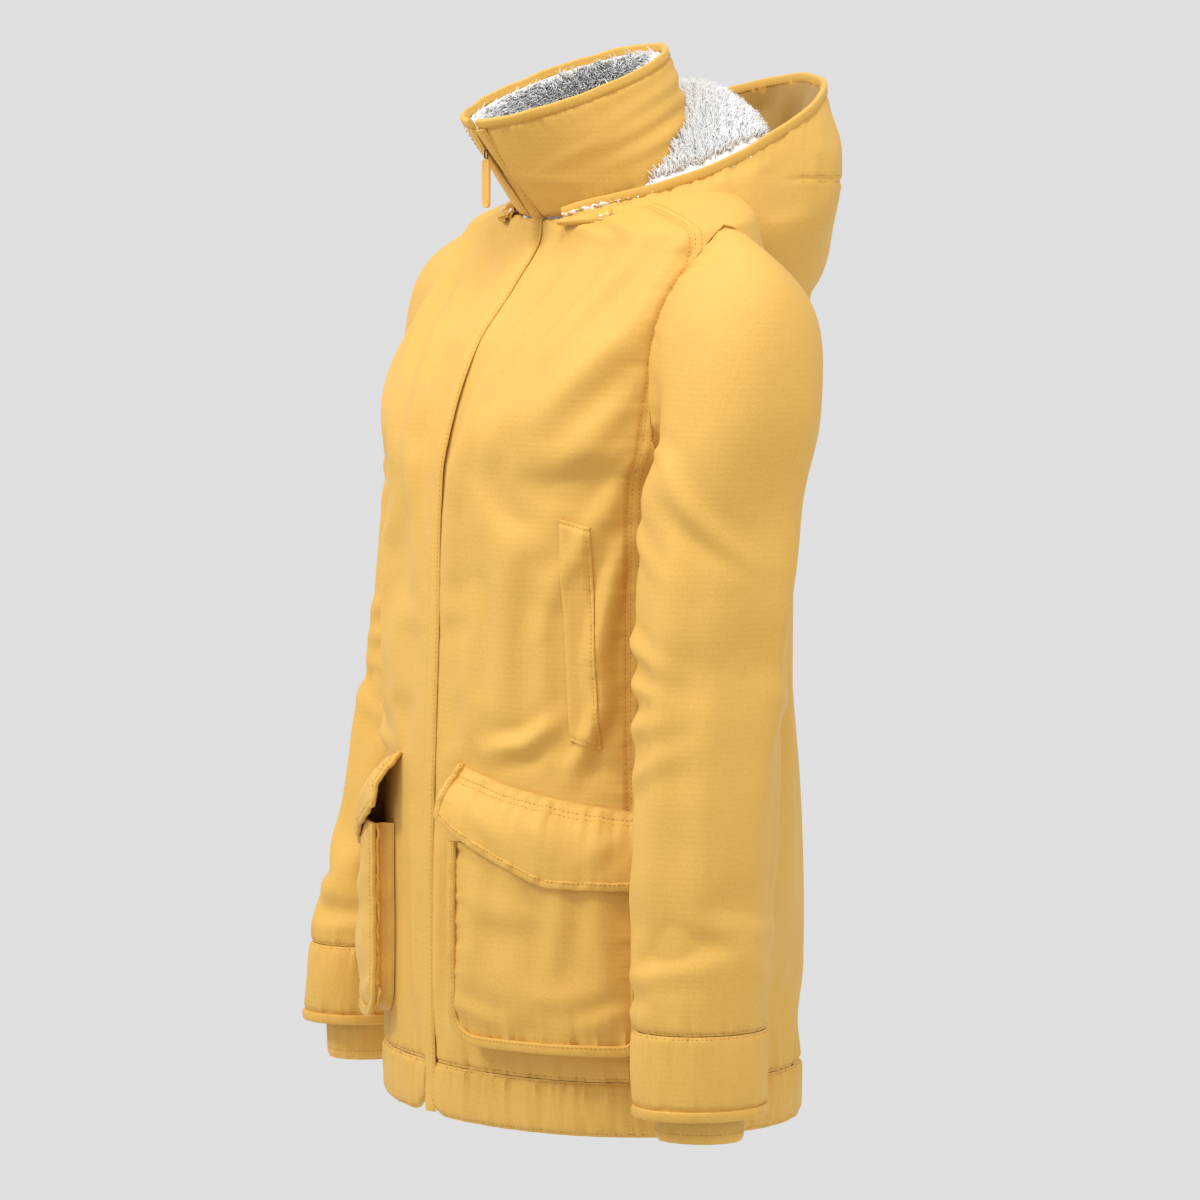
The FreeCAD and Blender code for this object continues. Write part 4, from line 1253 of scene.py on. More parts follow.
def sweep(path: Array, out: Array, up: Array, outline: Sequence[Tuple[float, float]], closed: bool) -> Net:
    """A tube whose outline follows a path.

    Args:
        path: the path's points.
        out: the direction of the outline's first axis at each point.
        up: the direction of its second axis at each point.
        outline: the outline's points in order.
        closed: whether the path is a loop; not used.

    Returns:
        A net whose rows follow the outline, with the columns as a ring around it.
    """
    shape = np.asarray(outline, float)
    points = path[:, None] + out[:, None] * shape[None, :, :1] + up[:, None] * shape[None, :, 1:]
    return Net(points, net_normals(points, True), None, True)


def band_outline(width: float, thickness: float) -> List[Tuple[float, float]]:
    """The rounded outline of a folded binding, centred on its width."""
    half, round_off = thickness / 2, []
    for turn in range(16):
        a = 2 * math.pi * turn / 16
        c, s = math.cos(a), math.sin(a)
        round_off.append((half * math.copysign(abs(c) ** 0.75, c),
                          width / 2 * math.copysign(abs(s) ** 0.45, s)))
    return round_off


# ------------------------------------------------------------------ the body of the coat
@dataclass
class Part:
    """A sub-assembly of the coat, made by a workshop."""

    shop: Workshop


@dataclass
class Torso(Part):
    """Front panels, back, yoke, hem bands and their pile lining.

    Attributes:
        step: spacing of the cloth's points.
    """

    step: float = 3.4

    def build(self) -> None:
        """Make every panel of the body."""
        for side in Side:
            self.front(side)
            self.front_hem(side)
            self.front_lining(side)
        self.back()
        self.back_hem()
        self.yoke()
        self.back_linings()

    def front_net(self, side: Side, low: float, high: float, first: float, offset: float,
                  step: float) -> Net:
        """The net of a front panel on the left, before it is draped.

        Args:
            side: the side; not used.
            low: lowest height.
            high: highest height.
            first: angle of the front edge.
            offset: distance outside the form.
            step: spacing of the points.

        Returns:
            The net on the wearer's left.
        """
        heights = spread(low, high, step, 1.0, 7.0)
        cut, _ = armhole_angles(heights)
        edge = np.minimum(yoke_angle(heights), cut) + 0.06
        share = spread(0.0, 1.0, step / 200.0, 0.005, 0.035)
        angle = first + share[None, :] * (edge[:, None] - first)
        level = np.repeat(heights[:, None], len(share), 1)
        self.angles, self.levels = angle, level
        return BODY.net(angle, level, offset)

    def front(self, side: Side) -> None:
        """Make one front panel with its stitches."""
        net = self.front_net(side, HEM_SEAM + 0.4, NECK, 0.5, 0.0, self.step)
        angle, level = self.angles, self.levels
        drape = DRAPES[side].lift(angle, level)
        sewn = self.sewn_zone(angle, level, net)
        drift = relax(net.moved(drape), sewn, 0.012, 14, 4.5, stiff=1.5)
        away = net.edge_distance()
        lift = drape + seam_roll(net, (Edge.END, Edge.BOTTOM, Edge.TOP))
        lift += seam_roll(net, (Edge.START,), 0.8, 1.5)
        lift += pucker(angle * DEGREE, away[Edge.BOTTOM], 1.5, 20, 31)
        lift += pucker(angle * DEGREE, away[Edge.TOP], 0.9, 16, 32)
        lift += pucker(level, away[Edge.END], 0.8, 15, 33)
        lift += pucker(level, away[Edge.START], 0.45, 11, 34) * np.clip(angle / 5, 0, 1)
        lift += topstitch_dent(net, Edge.BOTTOM, 2.4) + topstitch_dent(net, Edge.END, 3.0)
        base, net = net, net.moved(lift, drift, -3.6)
        lines = [net.line(Edge.END, 2.6), net.line(Edge.BOTTOM, 2.4), net.line(Edge.TOP, 3.2)]
        self.shop.sew(f"{side.word}_front_cloth", net, base, (f"{side.word}_front_panel",),
                      ("shoulder_yoke",), f"{side.word}_front_topstitching", lines, side)

    @staticmethod
    def sewn_zone(angle: Array, level: Array, net: Net) -> Array:
        """Where a front panel is held: its seams, the placket and under the pockets."""
        away = net.edge_distance()
        held = np.exp(-((away[Edge.END] / 9) ** 2)) + np.exp(-((away[Edge.START] / 22) ** 2))
        held += np.exp(-((away[Edge.BOTTOM] / 12) ** 2)) + np.exp(-((away[Edge.TOP] / 14) ** 2))
        pocket = np.clip((angle - 8) / 5, 0, 1) * np.clip((284 - level) / 14, 0, 1)
        welt = np.exp(-(((angle - 50) / 6) ** 2)) * np.clip((490 - level) / 18, 0, 1) \
            * np.clip((level - 284) / 18, 0, 1)
        return np.clip(held + pocket + 0.8 * welt, 0, 1)

    def hem_net(self, first: float, last: float, low: float, high: float, corner: float) -> Net:
        """A net of a hem band whose first lower corner is rounded.

        Args:
            first: first angle.
            last: last angle.
            low: lowest height.
            high: highest height.
            corner: radius of the rounded corner, or zero.

        Returns:
            The undraped net.
        """
        share = spread(0.0, 1.0, 2.6 / ((last - first) * DEGREE), 0.004, 0.02)
        angle = first + share * (last - first)
        across = (angle - first) * DEGREE * 1.15
        drop = np.zeros(len(share))
        if corner:
            inside = np.clip(corner - across, 0, corner)
            drop = corner - np.sqrt(np.maximum(corner ** 2 - inside ** 2, 0))
            drop = np.minimum(drop, corner * 0.93)
        rows = spread(0.0, 1.0, 0.07, 0.02, 0.12)
        level = (low + drop)[None, :] + rows[:, None] * (high - low - drop)[None, :]
        angle = np.repeat(angle[None, :], len(rows), 0)
        self.angles, self.levels = angle, level
        return Net(BODY.points(angle, level), BODY.normals(angle, np.maximum(level, 2)))

    def hem_lift(self, net: Net, seed: int, drape: Array) -> Array:
        """The padded roll and gathers of a hem band.

        Args:
            net: the undraped net.
            seed: seed of the gathers.
            drape: the body's drape there.

        Returns:
            The lift at each point.
        """
        away = net.edge_distance()
        share = away[Edge.TOP] / np.maximum(away[Edge.TOP] + away[Edge.BOTTOM], 1e-6)
        roll = 1.9 * np.sin(np.pi * np.clip(share, 0.02, 0.98)) ** 0.6
        lift = drape + roll + seam_roll(net, (Edge.TOP,), 1.3, 2.4)
        lift += seam_roll(net, (Edge.BOTTOM,), 2.0, 3.0)
        along = self.angles * DEGREE
        lift += pucker(along, away[Edge.TOP], 2.1, 19, seed)
        lift += pucker(along * 1.1, away[Edge.BOTTOM], 1.3, 12, seed + 1)
        return lift

    def front_hem(self, side: Side) -> None:
        """Make one front hem band with its rounded corner."""
        base = self.hem_net(0.5, 64.05, 0.0, HEM_SEAM, 26.0)
        drape = DRAPES[side].lift(self.angles, self.levels)
        lift = self.hem_lift(base, 51 + side.value, drape)
        lift += seam_roll(base, (Edge.START,), 1.6, 3.0) + seam_roll(base, (Edge.END,), 1.0, 2.0)
        net = base.moved(lift)
        lines = [net.line(Edge.TOP, 2.2), net.line(Edge.BOTTOM, 2.6)]
        self.shop.sew(f"{side.word}_front_hem_cloth", net, base, (f"{side.word}_front_hem_band",),
                      (f"{side.word}_front_panel",), f"{side.word}_front_hem_stitches", lines, side)

    def back_hem(self) -> None:
        """Make the back hem band."""
        base = self.hem_net(63.98, 296.02, 0.0, HEM_SEAM, 0.0)
        lift = self.hem_lift(base, 61, DRAPES[Side.LEFT].lift(self.angles, self.levels))
        lift += seam_roll(base, (Edge.START, Edge.END), 1.0, 2.0)
        net = base.moved(lift)
        self.shop.sew("back_hem_cloth", net, base, ("back_hem_band",), ("back_panel",), "back_hem_stitches",
                      [net.line(Edge.TOP, 2.2), net.line(Edge.BOTTOM, 2.6)])

    def back_net(self, low: float, high: float, offset: float, step: float) -> Net:
        """The undraped net of the back below the yoke, between two heights."""
        heights = np.concatenate([spread(low, UNDERARM, step, 1.2, 6.0),
                                  spread(UNDERARM, high, step, 1.0, 8.0)[1:]])
        net, self.angles, self.levels, self.bite_end = bitten_net(
            heights, np.full(len(heights), 63.98), (UNDERARM, 1000.0), step, offset)
        return net

    def back(self) -> None:
        """Make the back panel."""
        base = self.back_net(HEM_SEAM + 0.4, ACROSS - 0.4, 0.0, 4.2)
        angle, level = self.angles, self.levels
        left = DRAPES[Side.LEFT].lift(angle, level)
        away = base.edge_distance()
        lift = left + seam_roll(base, (Edge.BOTTOM, Edge.START, Edge.END, Edge.TOP))
        lift += pucker(angle * DEGREE, away[Edge.BOTTOM], 2.3, 26, 41)
        lift += pucker(angle * DEGREE, away[Edge.TOP], 0.9, 18, 42)
        lift += pucker(level, np.minimum(away[Edge.START], away[Edge.END]), 0.8, 14, 43)
        held = np.exp(-((np.minimum(away[Edge.BOTTOM], away[Edge.TOP]) / 14) ** 2))
        held += np.exp(-((np.minimum(away[Edge.START], away[Edge.END]) / 14) ** 2))
        drift = relax(base.moved(left), np.clip(held, 0, 1), 0.012, 12, 5.0, stride=3, stiff=1.5)
        net = base.moved(lift, drift, -3.6)
        low = Net(net.points, net.normals)
        top = slice(self.bite_end, -self.bite_end)
        edge_points, edge_ways = low.line(Edge.TOP, 2.6)
        lines = [low.line(Edge.BOTTOM, 2.4), (edge_points[top], edge_ways[top])]
        rows = int(np.searchsorted(level[:, 0], 575.0))
        side = Net(net.points[:rows], net.normals[:rows])
        lines += [side.line(Edge.START, 1.8), side.line(Edge.END, 1.8)]
        lines += [side.line(Edge.START, 7.5), side.line(Edge.END, 7.5)]
        self.shop.sew("back_cloth", net, base, ("back_panel",), ("shoulder_yoke",), "back_topstitching",
                      lines, merge=True)

    def yoke_net(self, offset: float, step: float) -> Net:
        """The undraped net of the yoke, from the seam across the back to the neck."""
        heights = np.concatenate([spread(ACROSS, SHOULDER_TIP, step, 1.2, 5.0),
                                  spread(SHOULDER_TIP, NECK, step * 0.6, 1.2, 4.0)[1:]])
        net, self.angles, self.levels, self.bite_end = bitten_net(
            heights, yoke_angle(heights) - 0.06, (0.0, SHOULDER_TIP), step, offset)
        return net

    def yoke(self) -> None:
        """Make the shoulder yoke."""
        base = self.yoke_net(0.0, 3.4)
        angle, level = self.angles, self.levels
        away = base.edge_distance()
        lift = DRAPES[Side.LEFT].lift(angle, level) * 0.8
        lift += seam_roll(base, (Edge.START, Edge.END, Edge.BOTTOM, Edge.TOP), 1.2)
        lift += pucker(angle * DEGREE, away[Edge.BOTTOM], 0.8, 15, 46)
        lift += pucker(angle * DEGREE * 0.6, away[Edge.TOP], 0.6, 9, 47)
        net = base.moved(lift, None, -3.6)
        top = int(np.searchsorted(level[:, 0], 660.0))
        seam = Net(net.points[top:], net.normals[top:])
        lines = [seam.line(Edge.START, 2.2), seam.line(Edge.END, 2.2)]
        lines += [seam.line(Edge.START, 7.2), seam.line(Edge.END, 7.2)]
        across, ways = net.line(Edge.BOTTOM, 2.6)
        lines.append((across[self.bite_end:-self.bite_end], ways[self.bite_end:-self.bite_end]))
        lines.append(net.line(Edge.TOP, 2.6))
        self.shop.sew("yoke_cloth", net, base, ("shoulder_yoke",), ("back_lining",), "yoke_topstitching",
                      lines, merge=True)

    def fleece(self, name: str, net: Net, nodes: Tuple[str, ...], merge: bool = False) -> None:
        """Make a lining panel with a lumpy pile face towards the wearer.

        Args:
            name: name of the piece.
            net: the lining's outer face.
            nodes: the CAD nodes it stands for.
            merge: whether points in one place become one.
        """
        inner = net.points - net.normals * 3.2
        lumps = np.sin(inner[..., 0] * 0.71 + inner[..., 2] * 0.33) \
            + np.sin(inner[..., 2] * 0.83 - inner[..., 1] * 0.59) + np.sin(inner.sum(-1) * 1.3)
        self.shop.sew(name, net.moved(lumps * -0.25), net, nodes, ("shoulder_yoke",), finish="pile",
                      thickness=3.2, merge=merge)

    def front_lining(self, side: Side) -> None:
        """Make the pile lining of one front."""
        net = self.front_net(side, 24.0, NECK, 7.0, -6.4, 7.0)
        if side is Side.RIGHT:
            net = net.mirrored()
        self.fleece(f"{side.word}_front_fleece", net, (f"{side.word}_front_lining",))

    def back_linings(self) -> None:
        """Make the pile lining of the back and the yoke."""
        self.fleece("back_fleece", self.back_net(24.0, ACROSS - 0.4, -6.4, 8.0), ("back_lining",), True)
        self.fleece("yoke_fleece", self.yoke_net(-6.4, 7.0), ("yoke_lining",), True)


def dress(piece: bpy.types.Object, body: str, nodes: Tuple[str, ...] = ()) -> None:
    """Attach a piece to its body, if it has one, and hide the CAD nodes it stands for.

    Args:
        piece: the piece.
        body: the CAD body it moves with, or nothing for cloth that bends across a joint.
        nodes: CAD nodes it replaces.
    """
    if body:
        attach(piece, body)
    if nodes:
        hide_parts(*nodes)
    log.info("%s: %d faces", piece.name, len(piece.data.polygons))


def bend_cloth(piece: bpy.types.Object) -> None:
    """Bake a piece's placement into its mesh."""
    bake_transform(piece)


def declare(base: Net,
            slack: float = 1.0) -> None:
    """Work out the flat size of a sheet of cloth from its undraped net; the sizes are not kept.

    Args:
        base: the net before it was draped.
        slack: how much larger the cut is than the net.
    """
    width, length = base.spans()
    area = base.area() * slack
    share = area / (width * length)
    if share < 0.31:
        width = width * share / 0.32
    if share > 1.0:
        width = width * share * 1.001


# ------------------------------------------------------------------ collar
@dataclass
class CollarPiece(Part):
    """The tall collar: outer funnel, pile lining, bound rim and chin guard.

    Attributes:
        gap: half angle of the opening at the centre front.
        band: height of the rim binding.
    """

    gap: float = 5.4
    band: float = 8.0

    def build(self) -> None:
        """Make the collar's pieces."""
        self.outer()
        self.lining()
        self.rim()
        self.chin_guard()

    def net(self, first: float, low: float, high: float, offset: float, step: float) -> Net:
        """An undraped net of the funnel between two heights."""
        heights = spread(low, high, step, 0.8, 4.0)
        share = spread(0.0, 1.0, step / 480.0, 0.0018, 0.01)
        angle = first + share * (360 - 2 * first)
        self.angles, self.levels = np.meshgrid(angle, heights)
        return COLLAR.net(self.angles, self.levels, offset)

    def outer(self) -> None:
        """Make the outer funnel with its soft creases."""
        base = self.net(self.gap, 716.8, 807.6, 0.0, 2.4)
        angle, level = self.angles, self.levels
        share = (level - 716.8) / 91.0
        rear = np.clip((np.minimum(angle, 360 - angle) - 50) / 60, 0, 1)
        lift = 1.7 * np.sin(np.pi * share) ** 0.8
        wave = np.radians(angle)
        lift += rear * 1.25 * np.sin(level * 0.36 + 1.4 * np.sin(wave * 2.0) + 0.7) * np.sin(np.pi * share)
        lift += rear * 0.8 * np.sin(level * 0.21 - wave * 3.0) * np.sin(np.pi * share)
        lift += 1.3 * np.sin(wave * 5 + level * 0.05) * share * (1 - share) * 2.2
        for crest, height, lean, size in ((62, 772, 0.35, 1.3), (300, 765, -0.3, 1.2), (35, 750, -0.4, 0.9)):
            gap = (level - height) - lean * (angle - crest)
            lift += size * np.exp(-((gap / 6.0) ** 2)) * np.exp(-(((angle - crest) / 24) ** 2))
        away = base.edge_distance()
        lift += seam_roll(base, (Edge.TOP, Edge.BOTTOM), 1.5, 2.6) + seam_roll(base, (Edge.START, Edge.END))
        lift += pucker(angle * 1.35, away[Edge.BOTTOM], 1.0, 12, 71)
        lift += pucker(angle * 1.35, away[Edge.TOP], 0.9, 11, 72)
        net = base.moved(lift)
        turn = np.linspace(0, 1, 30)
        arc = COLLAR.net(335.0 + 17.0 * turn, 806.0 - 30.0 * np.sin(turn * math.pi / 2) ** 1.6, 1.4)
        self.shop.sew("collar_cloth", net, base, ("collar_outer",), ("yoke_lining",), "collar_topstitching",
                      [net.line(Edge.BOTTOM, 3.0), (arc.points, arc.normals)])

    def lining(self) -> None:
        """Make the pile lining and the tufts of its upper part."""
        base = self.net(10.5, 717.0, 808.5, -3.4, 3.6)
        lumps = np.sin(base.points[..., 0] * 0.5 + base.points[..., 2] * 0.4) \
            * np.sin(base.points[..., 2] * 0.31 - base.points[..., 1] * 0.45)
        inner = Net((base.points - base.normals * (4.0 + 1.2 * lumps[..., None]))[:, ::-1],
                    -base.normals[:, ::-1])
        self.shop.sew("collar_fleece", inner, base, ("collar_lining",), ("collar_outer",), finish="pile",
                      thickness=3.0)
        upper = Net(inner.points[8:], inner.normals[8:])
        tufts = self.shop.tufts("collar_pile", upper, 15000, 7.5, 5, (0.0, 0.0, 0.55))
        dress(tufts, "coat")

    def rim(self) -> None:
        """Make the topstitched binding along the rim."""
        angle = np.linspace(self.gap, 360 - self.gap, 200)
        level = np.full(len(angle), 808.0)
        out = COLLAR.normals(angle, level - 2)
        up = unit(COLLAR.points(angle, level) - COLLAR.points(angle, level - 4))
        wave = 0.5 * np.sin(np.radians(angle) * 9) + 0.4 * np.sin(np.radians(angle) * 17 + 1)
        path = COLLAR.points(angle, level, -1.7 + wave * 0.6)
        path = path + up * (self.band / 2 - 1.2 + wave * 0.5)[:, None]
        net = sweep(path, out, up, band_outline(self.band, 4.8), False)
        rows = [(path + out * 2.35 - up * 2.2, out), (path - out * 2.35 - up * 2.2, -out)]
        self.shop.bind("collar_rim_band", net, "collar_rim_binding", "collar_rim_stitches", rows)

    def chin_guard(self) -> None:
        """Make the soft patch behind the zip's top on the wearer's right."""
        heights, angle = spread(770, 807, 2.4, 0.8, 2.4), spread(336, 349.5, 1.6, 0.5, 1.5)
        angles, levels = np.meshgrid(angle, heights)
        base = COLLAR.net(angles, levels, -8.2)
        flat = Net(base.points[:, ::-1], -base.normals[:, ::-1])
        net = flat.moved(1.0 * np.sin(np.pi * (levels - 770) / 37) + 0.2)
        self.shop.sew("chin_guard_cloth", net, base, ("chin_guard",), ("collar_lining",), thickness=1.6)


# ------------------------------------------------------------------ centre front
@dataclass
class CentreFront(Part):
    """Placket strips, zip tapes, coil, storm flap and end stops."""


    def build(self) -> None:
        """Make the pieces of the centre front."""
        self.strip("front_placket_cloth", "front_placket_strip", BODY, (3.0, 713.5), (1.4, 15.0), 3.3)
        self.strip("collar_placket_cloth", "collar_placket_strip", COLLAR, (719.0, 807.0), (4.6, 14.6), 3.2)
        for side in Side:
            self.tape(side)
            self.coil(side)
        self.storm_flap()
        self.stops()

    @staticmethod
    def column_net(form: Form, low: float, high: float, x_low: float, x_high: float,
                   offset: float, step: float = 3.4, side: Side = Side.LEFT) -> Net:
        """A net in a strip along the centre front.

        Args:
            form: the surface it lies on.
            low: lowest height.
            high: highest height.
            x_low: edge nearer the centre.
            x_high: the other edge.
            offset: distance outside the surface.
            step: spacing up the strip.
            side: the wearer's side.

        Returns:
            The net on the wearer's left or right.
        """
        heights = spread(low, high, step, 1.0, 3.0)
        across = np.linspace(0, 1, 13)
        across = 0.5 - 0.5 * np.cos(np.pi * across)
        x = x_low + across * (x_high - x_low)
        half = form.sizes(heights)[:, 0]
        angle = np.degrees(np.arcsin(x[None, :] / half[:, None]))
        level = np.repeat(heights[:, None], len(x), 1)
        net = form.net(angle, level, offset)
        return net if side is Side.LEFT else net.mirrored()

    def strip(self, name: str, node: str, form: Form, heights: Tuple[float, float],
              x: Tuple[float, float], proud: float) -> None:
        """Make one folded strip that covers the zip.

        Args:
            name: name of the piece.
            node: the CAD node it stands for.
            form: the surface it lies on.
            heights: its lower and upper end.
            x: its edges.
            proud: height of its padded middle.
        """
        base = self.column_net(form, *heights, *x, 0.6)
        rows, columns = base.points.shape[:2]
        share = 0.5 - 0.5 * np.cos(np.pi * np.linspace(0, 1, columns))
        crown = (1 - np.abs(2 * share - 1) ** 5) ** 0.6
        crown = crown * (1 - 0.35 * share)
        length = np.linspace(0, 1, rows)[:, None] * (heights[1] - heights[0])
        wave = 0.25 * np.sin(length / 13.0 + 2 * np.sin(length / 41.0))
        lift = proud * crown[None, :] * (1 + 0.25 * wave)
        stitch = -0.7 * np.exp(-(((share * (x[1] - x[0])) - (x[1] - x[0] - 2.4)) / 1.1) ** 2)
        net = base.moved(lift + stitch[None, :] * 0.8 + wave * 0.5)
        lines = [net.line(Edge.END, 2.4)]
        if form is BODY:
            lines += [net.line(Edge.TOP, 2.0), net.line(Edge.TOP, 7.5)]
        self.shop.sew(name, net, base, (node,), ("left_front_panel",), f"{name}_stitches", lines,
                      thickness=1.9)

    def tape(self, side: Side) -> None:
        """Make one zip tape from below the hem seam to the collar's rim."""
        low = self.column_net(BODY, 24.0, 716.0, 2.9, 10.0, -4.5, 6.0, side)
        high = self.column_net(COLLAR, 717.0, 804.0, 2.9, 10.0, -4.5, 6.0, side)
        base = Net(np.concatenate([low.points, high.points]), np.concatenate([low.normals, high.normals]))
        sheet = self.shop.cloth(f"{side.word}_zip_tape_twill", base, 1.0, self.shop.finishes.tape)
        dress(sheet, "coat", (f"{side.word}_zip_tape",))

    def coil(self, side: Side) -> None:
        """Make one row of coil teeth: one tooth, copied up the zip.

        Args:
            side: the wearer's side.
        """
        deselect()
        bpy.ops.mesh.primitive_cube_add(size=1.0)
        tooth = bpy.context.active_object
        bpy.ops.object.mode_set(mode="EDIT")
        bpy.ops.transform.resize(value=(2.0, 1.7, 1.05))
        bpy.ops.mesh.bevel(offset=0.22, segments=1, affect="EDGES")
        bpy.ops.object.mode_set(mode="OBJECT")
        shape = np.array([v.co for v in tooth.data.vertices])
        quads = [list(p.vertices) for p in tooth.data.polygons]
        bpy.data.objects.remove(tooth, do_unlink=True)
        points, faces = [], []
        for form, low, high in ((BODY, 33.0, 715.0), (COLLAR, 717.5, 803.0)):
            count = int((high - low) / 1.9)
            heights = np.linspace(low, high, count) + (0.95 if side is Side.RIGHT else 0.0)
            middles = form.points(np.zeros(count), heights, -4.6)
            runs = unit(np.gradient(middles, axis=0))
            for middle, run in zip(middles, runs):
                base = len(points) * len(shape)
                basis = np.array([[1.0, 0, 0], np.cross(run, [1.0, 0, 0]), run])
                points.append(middle + np.array([side.value * 1.55, 0, 0]) + shape @ basis)
                faces.extend([[base + i for i in quad] for quad in quads])
        piece = self.shop.mesh(f"{side.word}_coil_teeth", np.concatenate(points), faces,
                               self.shop.finishes.coil, 30)
        dress(piece, "coat", (f"{side.word}_zip_teeth",))

    def storm_flap(self) -> None:
        """Make the wind guard behind the zip."""
        heights = spread(25.0, 708.0, 7.0, 1.5, 4.0)
        x = np.linspace(-19.5, 29.5, 15)
        half = BODY.sizes(heights)[:, 0]
        angle = np.degrees(np.arcsin(x[None, :] / half[:, None]))
        level = np.repeat(heights[:, None], len(x), 1)
        base = BODY.net(angle, level, -10.2)
        net = base.moved(0.5 * np.sin(level / 19.0) * np.sin(angle * 0.9))
        self.shop.sew("storm_flap_cloth", net, base, ("storm_flap",), ("left_front_panel",), thickness=1.8)

    def stops(self) -> None:
        """Give the zip's end stops their metal finish."""
        paint("zip_end_stops", self.shop.finishes.metal)


def paint(node: str, material: bpy.types.Material) -> None:
    """Give a CAD node a procedural finish.

    Args:
        node: the node's name.
        material: the finish.
    """
    piece = bpy.data.objects[node]
    piece.data.materials.clear()
    piece.data.materials.append(material)


def deselect() -> None:
    """Clear the selection, so that an operator acts only on what follows."""
    if bpy.context.mode != "OBJECT":
        bpy.ops.object.mode_set(mode="OBJECT")
    bpy.ops.object.select_all(action="DESELECT")


